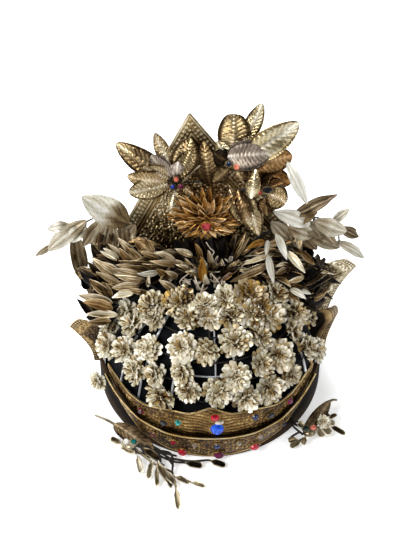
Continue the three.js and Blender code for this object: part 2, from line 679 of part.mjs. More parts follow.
function diademStone(row, shape, edges) {
  const middle = (edgeHeight(edges, row.azimuth, 'bottom') + edgeHeight(edges, row.azimuth, 'top')) / 2;
  const span = edgeHeight(edges, row.azimuth, 'top') - middle;
  const share = (row.height - middle) / span;
  const belly = shape.standOff + shape.flare * BELLY_SHARE + STRIP_WALL + RELIEF;
  const rimUp = shape.standOff + shape.flare + STRIP_WALL;
  const rimDown = shape.standOff + STRIP_WALL;
  const face = THREE.MathUtils.lerp(belly, share > 0 ? rimUp : rimDown, Math.abs(share));
  const slope = (share > 0 ? rimUp - belly : belly - rimDown) / span;
  const out = wallNormal(row.azimuth).addScaledVector(UP, -slope).normalize();
  const along = new THREE.Vector3().crossVectors(UP, out).normalize();
  const seat = onWall(row.azimuth, row.height, face).addScaledVector(out, GAP);
  return stone(seat, out, along, row);
}

// Frame of the crown plate: its right, up and front directions
const plateTurn = new THREE.Matrix4().makeRotationX(radians(-PLATE_LEAN));
const plateRoll = new THREE.Matrix4().makeRotationY(radians(-PLATE_TILT));
const platePose = new THREE.Matrix4().makeTranslation(PLATE_FOOT.x, PLATE_FOOT.y, PLATE_FOOT.z)
  .multiply(plateTurn).multiply(plateRoll);
const plateFront = FRONT.clone().transformDirection(platePose);

// The plate's outline lies in its own X and Z, with its front at Y = 0
function plateSlab(outline, thickness, frontReach) {
  const slab = new THREE.ExtrudeGeometry(outline, { depth: thickness, bevelEnabled: false, steps: 1 });
  slab.rotateX(Math.PI / 2);
  slab.translate(0, thickness - frontReach, 0);
  return slab;
}

function crownPlate() {
  const slope = Math.tan(radians(PLATE_HALF_ANGLE));
  const base = PLATE_RISE * slope;
  const gable = new THREE.Shape();
  gable.moveTo(-base, -PLATE_SKIRT);
  gable.lineTo(base, -PLATE_SKIRT);
  gable.lineTo(base, 0);
  gable.lineTo(0, PLATE_RISE);
  gable.lineTo(-base, 0);
  gable.closePath();
  const pieces = [plateSlab(gable, PLATE_WALL, 0)];
  const steep = 1 / Math.cos(radians(90 - PLATE_HALF_ANGLE));
  PLATE_RIB_INSETS.forEach((inset) => {
    const outer = PLATE_RISE - inset * steep;
    const inner = outer - PLATE_RIB_WIDTH * steep;
    const rib = new THREE.Shape();
    rib.moveTo(-outer * slope, 0);
    rib.lineTo(0, outer);
    rib.lineTo(outer * slope, 0);
    rib.lineTo(inner * slope, 0);
    rib.lineTo(0, inner);
    rib.lineTo(-inner * slope, 0);
    rib.closePath();
    pieces.push(plateSlab(rib, 2 * RELIEF, RELIEF));
  });
  const border = PLATE_RIB_INSETS[0] + (PLATE_RIB_INSETS[1] - PLATE_RIB_INSETS[0] + PLATE_RIB_WIDTH) / 2;
  const run = (PLATE_RISE - border * steep) / Math.cos(radians(PLATE_HALF_ANGLE));
  const studs = Math.floor(run / PLATE_STUD_PITCH);
  for (let k = 0; k < studs; k += 1) {
    const down = k * PLATE_STUD_PITCH;
    const z = PLATE_RISE - border * steep - down * Math.cos(radians(PLATE_HALF_ANGLE));
    const x = down * Math.sin(radians(PLATE_HALF_ANGLE));
    (k === 0 ? [0] : [-x, x]).forEach((place) => {
      const stud = new THREE.CylinderGeometry(PLATE_STUD_RADIUS, PLATE_STUD_RADIUS / 2, 2 * RELIEF, STUD_SIDES);
      stud.translate(place, 0, z);
      pieces.push(stud);
    });
  }
  const raised = fuse(pieces).applyMatrix4(platePose);
  const clearance = loft([
    [new THREE.Vector3(0, 0, -CAP_HEIGHT)],
    ...CAP_RING_HEIGHTS.map((height) => Array.from({ length: CAP_SIDES }, (_, k) => (
      onCap(360 * k / CAP_SIDES, height, GAP)
    ))),
    [new THREE.Vector3(0, 0, CAP_HEIGHT + GAP)],
  ]);
  return toGeometry(toSolid(raised).subtract(toSolid(clearance)));
}

// Foot of a stem on the plate's front, straight behind a point, clear of the raised work
function onPlate(point) {
  const depth = point.clone().sub(PLATE_FOOT).dot(plateFront);
  return point.clone().addScaledVector(plateFront, RELIEF + GAP - depth);
}

const rosetteUp = new THREE.Vector3(0, Math.sin(radians(ROSETTE_TILT)), Math.cos(radians(ROSETTE_TILT)));
const rosetteFront = new THREE.Vector3(0, -Math.cos(radians(ROSETTE_TILT)), Math.sin(radians(ROSETTE_TILT)));

function fromHub(hub, right, up, front) {
  return at(hub).addScaledVector(RIGHT, right)
    .addScaledVector(rosetteUp, up)
    .addScaledVector(rosetteFront, front);
}

// A short drum whose axis lies along a direction
function drum(centre, direction, radius, depth) {
  const shape = new THREE.CylinderGeometry(radius, radius, depth, HUB_SIDES);
  const turn = new THREE.Quaternion().setFromUnitVectors(new THREE.Vector3(0, 1, 0), direction);
  shape.applyQuaternion(turn);
  shape.translate(centre.x, centre.y, centre.z);
  return shape;
}

function rosette({ hub, footRight, leaves }) {
  const centre = at(hub);
  const foot = onPlate(fromHub(hub, footRight, 0, 0));
  const stem = wire(route([foot, centre]), ROSETTE_STEM_RADIUS, 1);
  const blades = leaves.map(({ right, up, front, width, stalk }) => {
    const inset = ROSETTE_LEAF_ROOT / Math.hypot(right, up);
    const root = fromHub(hub, right * inset, up * inset, ROSETTE_LEAF_DEPTH);
    return leaf(root, fromHub(hub, right, up, front), width, rosetteFront, { stalk });
  });
  return fuse([stem, drum(centre, rosetteFront, ROSETTE_HUB_RADIUS, ROSETTE_HUB_DEPTH), ...blades]);
}

// One tier of the chrysanthemum: a star whose points are the petals
function petalTier(facing, upwards, { petals, reach, notch, forward, turn }) {
  const ring = Array.from({ length: 2 * petals }, (_, k) => {
    const angle = radians(turn + 180 * k / petals);
    const share = k % 2 === 0 ? reach : notch;
    return MUM_CENTRE.clone()
      .addScaledVector(RIGHT, share * Math.cos(angle))
      .addScaledVector(upwards, share * Math.sin(angle))
      .addScaledVector(facing, forward * share / reach);
  });
  const back = MUM_CENTRE.clone().addScaledVector(facing, -MUM_TIER_DEPTH);
  const front = MUM_CENTRE.clone().addScaledVector(facing, MUM_TIER_DEPTH + forward / 2);
  return loft([[back], ring, [front]]);
}

function chrysanthemum() {
  const facing = FRONT.clone().applyAxisAngle(RIGHT, radians(-MUM_PITCH));
  const upwards = UP.clone().applyAxisAngle(RIGHT, radians(-MUM_PITCH));
  const pieces = [
    drum(MUM_CENTRE, facing, MUM_HUB_RADIUS, MUM_HUB_DEPTH),
    wire(route([onPlate(MUM_CENTRE), MUM_CENTRE]), ROSETTE_STEM_RADIUS, 1),
    ...MUM_TIERS.map((tier) => petalTier(facing, upwards, tier)),
  ];
  const seat = MUM_CENTRE.clone().addScaledVector(facing, MUM_HUB_DEPTH / 2 + GAP);
  return { body: fuse(pieces), seat, facing };
}

function spray({ foot, stems, leaves, leafLength, spread }, sprayIndex) {
  const root = onCap(foot.azimuth, foot.height, SPRAY_STEM_RADIUS + GAP);
  const pieces = [];
  stems.forEach(({ middle, end }, stemIndex) => {
    const path = new THREE.QuadraticBezierCurve3(root, at(middle), at(end));
    const steps = leaves + SPRAY_BARE_STEPS;
    pieces.push(wire(path, SPRAY_STEM_RADIUS, steps, STEM_SIDES));
    for (let k = SPRAY_BARE_STEPS + 1; k <= steps; k += 1) {
      const channel = 3 * (sprayIndex * stems.length + stemIndex);
      const share = (k - LEAF_SETBACK) / steps;
      const start = path.getPointAt(share);
      const along = path.getTangentAt(share);
      const out = start.clone().sub(CAP_MIDDLE).normalize();
      const across = new THREE.Vector3().crossVectors(along, out).normalize();
      const side = k % 2 === 0 ? 1 : -1;
      const opening = spread * vary(k, channel, SPRAY_TURN) * THREE.MathUtils.lerp(...SPRAY_TURN_ALONG, share);
      const turn = side * radians(opening);
      const rise = vary(k, channel + 1, SPRAY_RISE);
      const direction = along.clone().multiplyScalar(Math.cos(turn))
        .addScaledVector(across, Math.sin(turn))
        .addScaledVector(out, rise)
        .normalize();
      const reach = leafLength * vary(k, channel + 2, SPRAY_REACH);
      const tip = start.clone().addScaledVector(direction, reach);
      pieces.push(leaf(start, tip, SPRAY_LEAF_WIDTH, out, SPRAY_BLADE));
    }
  });
  return fuse(pieces);
}

function outerLeaves({ stem, leaves }) {
  const path = route(stem.map(at));
  const base = path.getPoint(0);
  const pieces = [
    wire(route([onPlate(base), base]), OUTER_STEM_RADIUS, 1, STEM_SIDES),
    wire(path, OUTER_STEM_RADIUS, OUTER_STEM_STEPS, STEM_SIDES),
  ];
  leaves.forEach(({ share, tip, width }) => (
    pieces.push(leaf(path.getPointAt(share), at(tip), width, OUTER_FACING))
  ));
  return fuse(pieces);
}

function wing({ side, y, foot, top, inner, tip, tipHeight }) {
  const outline = new THREE.Shape();
  const shoulder = THREE.MathUtils.lerp(inner, tip, WING_SHOULDER);
  const waist = THREE.MathUtils.lerp(inner, tip, WING_WAIST);
  const hollow = THREE.MathUtils.lerp(foot, tipHeight, WING_HOLLOW);
  outline.moveTo(inner, foot);
  outline.lineTo(waist, foot);
  outline.quadraticCurveTo(waist, hollow, tip, tipHeight);
  outline.quadraticCurveTo(shoulder + WING_CREST_LEAN, top + WING_CREST, shoulder - WING_CREST_START, top);
  outline.lineTo(inner, top - WING_BACK_DROP);
  outline.closePath();
  const plate = new THREE.ExtrudeGeometry(outline, {
    depth: WING_WALL, bevelEnabled: false, steps: 1, curveSegments: WING_CURVE_STEPS,
  });
  plate.rotateX(Math.PI / 2);
  const points = plate.attributes.position;
  for (let k = 0; k < points.count; k += 1) {
    const reach = (points.getX(k) - inner) / (tip - inner);
    points.setX(k, side * points.getX(k));
    points.setY(k, y + points.getY(k) + WING_CURL * reach ** 2);
  }
  return side > 0 ? plate : turnedOut(plate);
}

function earPendant({ panel, pad, linkAzimuth, twigs, paddles }) {
  const facing = PENDANT_FACING.clone().normalize();
  const link = route([onWall(linkAzimuth, LINK_HEIGHT, GAP), at(pad)]);
  const routes = twigs.map((points) => route(points.map(at)));
  const pieces = [
    leaf(at(panel.start), at(panel.tip), panel.width, facing, PANEL_BLADE),
    wire(link, TWIG_RADIUS, 1, STEM_SIDES),
    drum(at(pad), UP, PENDANT_PAD.radius, PENDANT_PAD.depth),
  ];
  routes.forEach((path) => pieces.push(wire(path, TWIG_RADIUS, TWIG_STEPS, STEM_SIDES)));
  paddles.forEach(({ twig, step, tip, width }) => {
    const start = routes[twig].getPointAt((step - LEAF_SETBACK) / TWIG_STEPS);
    pieces.push(leaf(start, at(tip), width, facing, PADDLE_BLADE));
  });
  return fuse(pieces);
}

function sideFlower() {
  const { azimuth, height, reach } = SIDE_FLOWER;
  const root = onWall(azimuth, height, GAP);
  const centre = onWall(azimuth, height, reach);
  return flower(root, centre, wallNormal(azimuth), FLOWER_RADIUS);
}

addPiece('cap_shell', capShell(), 0x10131c, 0.9, 0);
addPiece('rim_band', rimBand(), 0x2a1e12, 0.6, 0);
addPiece('flower_lattice', flowerLattice(), 0xb9bcc0, 0.4, 0.8);
FLOWER_ROWS.forEach((row, index) => addGilt(`flower_row_${index + 1}`, flowerRow(row), 0xcdbf97));
addGilt('side_flower', sideFlower(), 0xcdbf97);
addGilt('diadem_lower', diadem(DIADEM_LOWER, DIADEM_LOWER_EDGES), 0x7d6434);
addGilt('diadem_upper', diadem(DIADEM_UPPER, DIADEM_UPPER_EDGES), 0x7d6434);
STONES_UPPER.forEach((row) => {
  addStone(row.name, diademStone(row, DIADEM_UPPER, DIADEM_UPPER_EDGES), row.color);
});
STONES_LOWER.forEach((row) => {
  addStone(row.name, diademStone(row, DIADEM_LOWER, DIADEM_LOWER_EDGES), row.color);
});
addGilt('crown_plate', crownPlate(), 0x6e5a2c);
ROSETTES.forEach((row) => addGilt(row.name, rosette(row), row.color));
ROSETTE_STONES.forEach((row) => {
  const { hub } = ROSETTES.find(({ name }) => name === row.rosette);
  const seat = fromHub(hub, row.right, row.up, ROSETTE_HUB_DEPTH / 2 + GAP);
  addStone(row.name, cushion(seat, rosetteFront, RIGHT, row.size), row.color);
});
const mum = chrysanthemum();
addGilt('chrysanthemum', mum.body, 0x8a5f22);
const mumStone = cushion(mum.seat, mum.facing, RIGHT, MUM_STONE.size);
addStone('chrysanthemum_stone', mumStone, MUM_STONE.color);
SPRAYS.forEach((row, index) => addGilt(row.name, spray(row, index), 0x7f7052));
OUTER_LEAVES.forEach((row) => addGilt(row.name, outerLeaves(row), row.color));
WINGS.forEach((row) => addGilt(row.name, wing(row), 0x7a6a45));
PENDANTS.forEach((row) => addGilt(row.name, earPendant(row), row.color));
PENDANT_STONES.forEach((row) => {
  const { pad } = PENDANTS.find(({ name }) => name === `ear_pendant_${row.carrier}`);
  const seat = at(pad).add(new THREE.Vector3(row.right, -row.front, PENDANT_PAD.depth / 2 + GAP));
  addStone(row.name, cushion(seat, UP, RIGHT, row.size), row.color);
});

// Stand the headdress with the middle of its footprint at the origin
const extent = new THREE.Box3().setFromObject(headdress);
headdress.position.set(-(extent.min.x + extent.max.x) / 2, -(extent.min.y + extent.max.y) / 2, -extent.min.z);

export default headdress;
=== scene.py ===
"""Dresses the wedding headdress: cloth cap, leather rim, ruffled gilt flowers, veined leaves, pressed plates,
cut stones and ear pendants, with a plain floor, soft studio light and the photograph's camera."""

import json
import math
from collections import namedtuple

import bpy
import numpy as np
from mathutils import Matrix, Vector


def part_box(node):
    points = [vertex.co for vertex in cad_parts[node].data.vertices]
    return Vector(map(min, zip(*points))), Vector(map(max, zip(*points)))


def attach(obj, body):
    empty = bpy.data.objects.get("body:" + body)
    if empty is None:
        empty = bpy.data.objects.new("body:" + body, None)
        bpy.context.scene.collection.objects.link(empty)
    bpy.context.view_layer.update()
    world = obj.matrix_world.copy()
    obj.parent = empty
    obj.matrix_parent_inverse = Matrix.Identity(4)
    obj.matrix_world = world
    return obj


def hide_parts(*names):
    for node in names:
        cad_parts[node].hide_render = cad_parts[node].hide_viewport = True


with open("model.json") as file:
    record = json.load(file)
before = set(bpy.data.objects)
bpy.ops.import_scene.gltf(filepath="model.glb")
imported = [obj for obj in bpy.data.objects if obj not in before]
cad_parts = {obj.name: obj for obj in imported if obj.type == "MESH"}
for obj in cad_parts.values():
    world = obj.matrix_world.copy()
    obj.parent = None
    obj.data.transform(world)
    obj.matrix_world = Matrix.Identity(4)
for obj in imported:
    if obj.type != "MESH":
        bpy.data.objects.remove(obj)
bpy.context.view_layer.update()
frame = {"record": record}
SLOT_OF = {row["node"]: row["material_slot"] for row in frame["record"]["subparts"]}

# Sizes are in millimetres from the middle of the cap's foot; azimuth 0 is the front and grows to the right
MM = 0.001
RIM_LOW, RIM_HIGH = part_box("rim_band")
MIDDLE = np.array([(RIM_LOW.x + RIM_HIGH.x) / 2, (RIM_LOW.y + RIM_HIGH.y) / 2, 0.0])
RIGHT = np.array([1.0, 0.0, 0.0])
UP = np.array([0.0, 0.0, 1.0])
FRONT = np.array([0.0, -1.0, 0.0])
TURN = 2 * math.pi
TINY = 1e-6

# Cap and rim band, and the gap between two pieces that touch
CAP_HALF_WIDTH = 85.5
CAP_HALF_DEPTH = 95.0
CAP_HEIGHT = 104.0
CAP_ROUNDNESS = 2.3
CAP_WALL = 2.3
RIM_WALL = 2.6
RIM_HEIGHT = 32.0
GAP = 0.35

# Camera of the photograph: frame and focal length in pixels, sensor, elevation in degrees, distance, target,
# and how near it still sees
FRAME_WIDTH_PX = 410
FRAME_HEIGHT_PX = 547
FOCAL_PX = 1153.8
SENSOR = 36.0
CAMERA_ELEVATION = 42.0
CAMERA_DISTANCE = 900.0
CAMERA_TARGET = (-4.0, 20.0, 79.0)
CAMERA_NEAR = 10.0
CAMERA_TILT = math.radians(CAMERA_ELEVATION)
CAMERA_FORWARD = np.array([0.0, math.cos(CAMERA_TILT), -math.sin(CAMERA_TILT)])
CAMERA_UP = np.array([0.0, math.sin(CAMERA_TILT), math.cos(CAMERA_TILT)])
CAMERA_PLACE = np.array(CAMERA_TARGET) - CAMERA_DISTANCE * CAMERA_FORWARD

# A mesh in arrays: points in mm, face corners and corner counts, and for each point its place on the
# flat sheet, how far it is raised (0 to 1; on narrow leaves it also holds painted light on one half and
# painted shade on the other), and the tone and warmth of the copy it belongs to
Part = namedtuple("Part", "points corners counts flat relief tone hue")
Master = namedtuple("Master", "part length width")
PLAIN_RELIEF = 0.6
PLAIN_TONE = 0.5


def unit(vector):
    vector = np.asarray(vector, float)
    return vector / np.linalg.norm(vector, axis=-1, keepdims=True)


def jitter(rng, reach):
    """A random step of up to the reach along each axis"""
    return rng.uniform(-reach, reach, 3)


def drawn(rng, ranges):
    """One value from each of the named ranges"""
    return {name: rng.uniform(*span) for name, span in ranges.items()}


def metres(point):
    return Vector(np.asarray(point, float) * MM + MIDDLE)


def turn_about(axis, degrees, vector):
    axis = unit(axis)
    angle = math.radians(degrees)
    vector = np.asarray(vector, float)
    return (vector * math.cos(angle) + np.cross(axis, vector) * math.sin(angle)
            + axis * np.dot(vector, axis)[..., None] * (1 - math.cos(angle)))


def cap_point(azimuth, height, offset=0.0):
    """Point on the cap moved out along the surface normal, and that normal"""
    azimuth, height = np.broadcast_arrays(np.asarray(azimuth, float), np.asarray(height, float))
    level = np.minimum(height / CAP_HEIGHT, 1.0)
    spread = np.maximum(1 - level ** CAP_ROUNDNESS, 0.0) ** (1 / CAP_ROUNDNESS)
    angle = np.radians(azimuth)
    point = np.stack([
        CAP_HALF_WIDTH * spread * np.sin(angle),
        -CAP_HALF_DEPTH * spread * np.cos(angle),
        level * CAP_HEIGHT,
    ], -1)
    around = np.maximum(spread, TINY) ** (CAP_ROUNDNESS - 2)
    normal = unit(np.stack([
        around * point[..., 0] / CAP_HALF_WIDTH ** 2,
        around * point[..., 1] / CAP_HALF_DEPTH ** 2,
        level ** (CAP_ROUNDNESS - 1) / CAP_HEIGHT,
    ], -1))
    return point + normal * np.asarray(offset)[..., None], normal


def wall_point(azimuth, height, stand_off):
    """Point on the upright elliptical wall outside the rim band"""
    angle = np.radians(np.asarray(azimuth, float))
    out = GAP + RIM_WALL + np.asarray(stand_off, float)
    return np.stack(np.broadcast_arrays(
        (CAP_HALF_WIDTH + out) * np.sin(angle),
        -(CAP_HALF_DEPTH + out) * np.cos(angle),
        np.asarray(height, float),
    ), -1)


def wall_normal(azimuth):
    angle = math.radians(azimuth)
    return unit([math.sin(angle) / CAP_HALF_WIDTH, -math.cos(angle) / CAP_HALF_DEPTH, 0.0])


def seen(pixel, depth):
    """The place on an upright sheet, so far back from the middle, that the photograph shows at a pixel"""
    right = (pixel[0] - FRAME_WIDTH_PX / 2) / FOCAL_PX
    up = (FRAME_HEIGHT_PX / 2 - pixel[1]) / FOCAL_PX
    sight = CAMERA_FORWARD + RIGHT * right + CAMERA_UP * up
    return CAMERA_PLACE + sight * (depth - CAMERA_PLACE[1]) / sight[1]


def shown(point):
    """The photograph's pixel that shows a point"""
    sight = np.asarray(point, float) - CAMERA_PLACE
    reach = FOCAL_PX / np.dot(sight, CAMERA_FORWARD)
    column = FRAME_WIDTH_PX / 2 + np.dot(sight, RIGHT) * reach
    row = FRAME_HEIGHT_PX / 2 - np.dot(sight, CAMERA_UP) * reach
    return column, row


def smooth_route(points, count):
    """Points spread along a smooth curve through the given ones"""
    points = np.asarray(points, float)
    padded = np.vstack([2 * points[0] - points[1], points, 2 * points[-1] - points[-2]])
    place = np.linspace(0, len(points) - 1, count)
    span = np.minimum(place.astype(int), len(points) - 2)
    t = (place - span)[:, None]
    a, b, c, d = (padded[span + k] for k in range(4))
    return 0.5 * (2 * b + (c - a) * t + (2 * a - 5 * b + 4 * c - d) * t ** 2
                  + (3 * b - a - 3 * c + d) * t ** 3)


def ridge(distance, width):
    return np.exp(-(distance / width) ** 2)


def grains(x, y, pitch):
    """Raised grains of about the given pitch, pushed out of line so that no rows show"""
    near, far = 0.3 * pitch, 0.25 * pitch
    aside = x + near * np.sin(y / (0.8 * pitch)) + far * np.sin((x + 2.1 * y) / (1.9 * pitch))
    upward = y + near * np.sin(x / (0.7 * pitch)) + far * np.sin((y - 1.7 * x) / (2.3 * pitch))
    return 0.5 + 0.5 * np.cos(TURN * aside / pitch) * np.cos(TURN * upward / pitch)


def studs(x, y, pitch, size, scatter=0.3):
    """Round points of uneven size, one to each cell of the pitch, pushed out of line by the scatter"""
    raised = np.zeros_like(x)
    for aside in (-1, 0, 1):
        for upward in (-1, 0, 1):
            column = np.floor(x / pitch) + aside
            row = np.floor(y / pitch) + upward
            # A turn that differs from cell to cell with no rule that shows
            turn = 2.4 * column + 5.1 * row + 3.0 * np.sin(7.3 * column + 3.7 * row)
            across = x - (column + 0.5 + scatter * np.cos(turn)) * pitch
            up = y - (row + 0.5 + scatter * np.sin(1.7 * turn)) * pitch
            reach = size * (0.75 + 0.4 * np.sin(2.9 * turn) ** 2)
            raised = np.maximum(raised, ridge(np.hypot(across, up), reach))
    return raised


def scrolls(x, y, pitch, line, size=0.54, fade=0.12):
    """Raised volutes in staggered rows; size and fade of each are shares of the pitch"""
    row = np.floor(y / pitch)
    shift = 0.5 * (row % 2)
    column = np.floor(x / pitch - shift)
    across = x - (column + 0.5 + shift) * pitch
    up = y - (row + 0.5) * pitch
    reach = np.hypot(across, up)
    hand = np.where((column + row) % 2 == 0, 1.0, -1.0)
    arm = np.clip(np.cos(TURN * reach / line - hand * np.arctan2(up, across)), 0, 1)
    inside = np.clip((size * pitch - reach) / (fade * pitch), 0, 1)
    return arm * inside


# Modelling helpers

def clear_selection():
    bpy.ops.object.select_all(action="DESELECT")


def points_of(made):
    points = np.empty(len(made.data.vertices) * 3)
    made.data.vertices.foreach_get("co", points)
    return points.reshape(-1, 3)


def reshape(made, points):
    made.data.vertices.foreach_set("co", np.ascontiguousarray(points, np.float32).ravel())
    made.data.update()


def take(made, relief=None, flat=None):
    """Reads a finished object into arrays and removes it"""
    mesh = made.data
    points = points_of(made)
    corners = np.empty(len(mesh.loops), np.int32)
    mesh.loops.foreach_get("vertex_index", corners)
    counts = np.empty(len(mesh.polygons), np.int32)
    mesh.polygons.foreach_get("loop_total", counts)
    bpy.data.objects.remove(made, do_unlink=True)
    bpy.data.meshes.remove(mesh)
    count = len(points)
    relief = np.full(count, PLAIN_RELIEF) if relief is None else relief
    flat = np.zeros((count, 2)) if flat is None else flat
    return Part(points, corners, counts, flat, relief, np.full(count, PLAIN_TONE), np.zeros(count))


def finish_with(made, kind, **settings):
    """Adds a modifier to the object and applies it"""
    modifier = made.modifiers.new(kind.lower(), kind)
    for key, value in settings.items():
        setattr(modifier, key, value)
    bpy.context.view_layer.objects.active = made
    bpy.ops.object.modifier_apply(modifier=modifier.name)


def pressed(columns, rows, shape, wall):
    """A sheet pressed to shape(u, v), which gives points in mm and how far each is raised"""
    clear_selection()
    bpy.ops.mesh.primitive_grid_add(x_subdivisions=columns, y_subdivisions=rows, size=1)
    sheet = bpy.context.object
    flat = points_of(sheet)[:, :2] + 0.5
    points, relief = shape(flat[:, 0], flat[:, 1])
    reshape(sheet, points)
    finish_with(sheet, "SOLIDIFY", thickness=wall, offset=0)
    return take(sheet, np.tile(relief, 2), np.tile(flat, (2, 1)))


def wires(routes, radius, tips=1.0):
    """Round wires along routes of points in mm; tips is the share of the radius left at their ends"""
    clear_selection()
    curve = bpy.data.curves.new("wire", "CURVE")
    curve.dimensions = "3D"
    curve.bevel_depth = radius
    curve.bevel_resolution = 1
    curve.use_fill_caps = True
    for route in routes:
        route = np.asarray(route, float)
        spline = curve.splines.new("POLY")
        spline.points.add(len(route) - 1)
        spline.points.foreach_set("co", np.hstack([route, np.ones((len(route), 1))]).ravel())
        share = np.linspace(0, 1, len(route))
        spline.points.foreach_set("radius", tips + (1 - tips) * np.sin(np.pi * (0.5 + 0.5 * share)))
    made = bpy.data.objects.new("wire", curve)
    bpy.context.collection.objects.link(made)
    made.select_set(True)
    bpy.context.view_layer.objects.active = made
    bpy.ops.object.convert(target="MESH")
    return take(bpy.context.object)


def moved(part, rows, offset, tone=None, hue=None):
    """A copy of a part in another frame, whose three directions are the rows"""
    points = part.points @ np.asarray(rows, float) + np.asarray(offset, float)
    tone = part.tone if tone is None else np.full(len(points), tone)
    hue = part.hue if hue is None else np.full(len(points), hue)
    return part._replace(points=points, tone=tone, hue=hue)


def joined(parts):
    starts = np.cumsum([0] + [len(part.points) for part in parts[:-1]])
    parts = [part._replace(corners=part.corners + start) for part, start in zip(parts, starts)]
    return Part(*(np.concatenate(column) for column in zip(*parts)))


def put(name, parts, finish, nodes=(), smooth=40):
    """Makes one piece of the headdress from parts, on its body and in place of the nodes"""
    whole = joined(parts)
    mesh = bpy.data.meshes.new(name)
    mesh.vertices.add(len(whole.points))
    mesh.vertices.foreach_set("co", (whole.points * MM + MIDDLE).astype(np.float32).ravel())
    mesh.loops.add(len(whole.corners))
    mesh.loops.foreach_set("vertex_index", whole.corners)
    mesh.polygons.add(len(whole.counts))
    starts = np.concatenate([[0], np.cumsum(whole.counts)[:-1]])
    mesh.polygons.foreach_set("loop_start", starts.astype(np.int32))
    mesh.update(calc_edges=True)
    flat = whole.flat[whole.corners].astype(np.float32)
    mesh.uv_layers.new(name="UVMap").data.foreach_set("uv", flat.ravel())
    for attribute in ("relief", "tone", "hue"):
        values = getattr(whole, attribute).astype(np.float32)
        mesh.attributes.new(attribute, "FLOAT", "POINT").data.foreach_set("value", values)
    mesh.materials.append(finish)
    piece = bpy.data.objects.new(name, mesh)
    bpy.context.collection.objects.link(piece)
    clear_selection()
    piece.select_set(True)
    bpy.context.view_layer.objects.active = piece
    bpy.ops.object.shade_smooth_by_angle(angle=math.radians(smooth))
    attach(piece, "root")
    if nodes:
        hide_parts(*nodes)


# Finishes

def colour(code):
    """Linear colour of an sRGB hex value"""
    shares = [int(code[k:k + 2], 16) / 255 for k in (1, 3, 5)]
    return tuple(c / 12.92 if c <= 0.04045 else ((c + 0.055) / 1.055) ** 2.4 for c in shares) + (1.0,)


def add_node(tree, kind, settings=None, links=None):
    """Adds a shader node with its settings, a colour ramp's stops among them, and its links"""
    made = tree.nodes.new("ShaderNode" + kind)
    for key, value in (settings or {}).items():
        if key == "stops":
            elements = made.color_ramp.elements
            while len(elements) < len(value):
                elements.new(0.5)
            for element, (place, code) in zip(elements, value):
                element.position = place
                element.color = colour(code)
        elif isinstance(key, str) and hasattr(made, key):
            setattr(made, key, value)
        else:
            made.inputs[key].default_value = value
    for key, source in (links or {}).items():
        tree.links.new(source, made.inputs[key])
    return made


def new_finish(name):
    """A finish with no nodes but its object coordinates, its tree, and those coordinates"""
    finish = bpy.data.materials.new(name)
    finish.use_nodes = True
    tree = finish.node_tree
    tree.nodes.clear()
    return finish, tree, add_node(tree, "TexCoord").outputs["Object"]


def lay_surface(tree, settings, links):
    """Ends a finish with its surface"""
    surface = add_node(tree, "BsdfPrincipled", settings, links)
    add_node(tree, "OutputMaterial", links={"Surface": surface.outputs["BSDF"]})


# Gilt: weights that add up to the level at which it reads its colours, the wander of drawn lines and how deep
# they are against the grain, the patches between which it goes from bright to dull, and its fine unevenness
LEVEL_START = -0.38
PATCH_WEIGHT = 0.75
TONE_WEIGHT = 0.6
LINE_WEIGHT = 0.09
LINE_WANDER = 9.0
LINE_DEPTH = 0.7
BRIGHT_PATCH, DULL_PATCH = 0.3, 0.7
GILT_GRAIN = 1.1
GILT_GRAIN_DEPTH = 0.12
GILT_GRAIN_STRENGTH = 0.6


def gilt(name, stops, metallic=0.9, rough=(0.24, 0.46), patch=8.0, wear=0.5, warm="#c98f55", lines=0):
    """Gilt brass sheet, pressed and rubbed: tarnish lies in the hollows, raised lines are bright, and each
    copy has its own tone and warmth; patch is the size of a tarnish patch, and lines is how many drawn lines
    run along a sheet"""
    finish, tree, place = new_finish(name)
    patches = add_node(tree, "TexNoise", {"Scale": 1 / (patch * MM), "Detail": 5.0},
                       {"Vector": place}).outputs["Fac"]
    height = add_node(tree, "TexNoise", {"Scale": 1 / (GILT_GRAIN * MM), "Detail": 3.0},
                      {"Vector": place}).outputs["Fac"]
    relief, tone, hue = (add_node(tree, "Attribute", {"attribute_name": kind}).outputs["Fac"]
                         for kind in ("relief", "tone", "hue"))
    level = add_node(tree, "Math", {"operation": "MULTIPLY_ADD", 1: wear, 2: LEVEL_START},
                     {0: relief}).outputs["Value"]
    shares = [(patches, PATCH_WEIGHT), (tone, TONE_WEIGHT)]
    if lines:
        sheet = add_node(tree, "UVMap", {"uv_map": "UVMap"})
        across = add_node(tree, "SeparateXYZ", links={"Vector": sheet.outputs["UV"]})
        bend = add_node(tree, "Math", {"operation": "MULTIPLY", 1: LINE_WANDER}, {0: patches})
        turn = add_node(tree, "Math", {"operation": "MULTIPLY_ADD", 1: TURN * lines},
                        {0: across.outputs["X"], 2: bend.outputs["Value"]})
        ripple = add_node(tree, "Math", {"operation": "SINE"}, {0: turn.outputs["Value"]}).outputs["Value"]
        shares.append((ripple, LINE_WEIGHT))
        height = add_node(tree, "Math", {"operation": "MULTIPLY_ADD", 1: LINE_DEPTH},
                          {0: ripple, 2: height}).outputs["Value"]
    for source, weight in shares:
        level = add_node(tree, "Math", {"operation": "MULTIPLY_ADD", 1: weight},
                         {0: source, 2: level}).outputs["Value"]
    shade = add_node(tree, "ValToRGB", {"stops": stops}, {"Fac": level})
    tinted = add_node(tree, "Mix", {"data_type": "RGBA", "blend_type": "MULTIPLY", 7: colour(warm)},
                      {0: hue, 6: shade.outputs["Color"]})
    dull = add_node(tree, "MapRange", {"From Min": BRIGHT_PATCH, "From Max": DULL_PATCH,
                                       "To Min": rough[0], "To Max": rough[1]}, {"Value": patches})
    uneven = add_node(tree, "Bump", {"Strength": GILT_GRAIN_STRENGTH, "Distance": GILT_GRAIN_DEPTH * MM},
                      {"Height": height})
    lay_surface(tree, {"Metallic": metallic}, {
        "Base Color": tinted.outputs[2], "Roughness": dull.outputs["Result"],
        "Normal": uneven.outputs["Normal"]})
    return finish


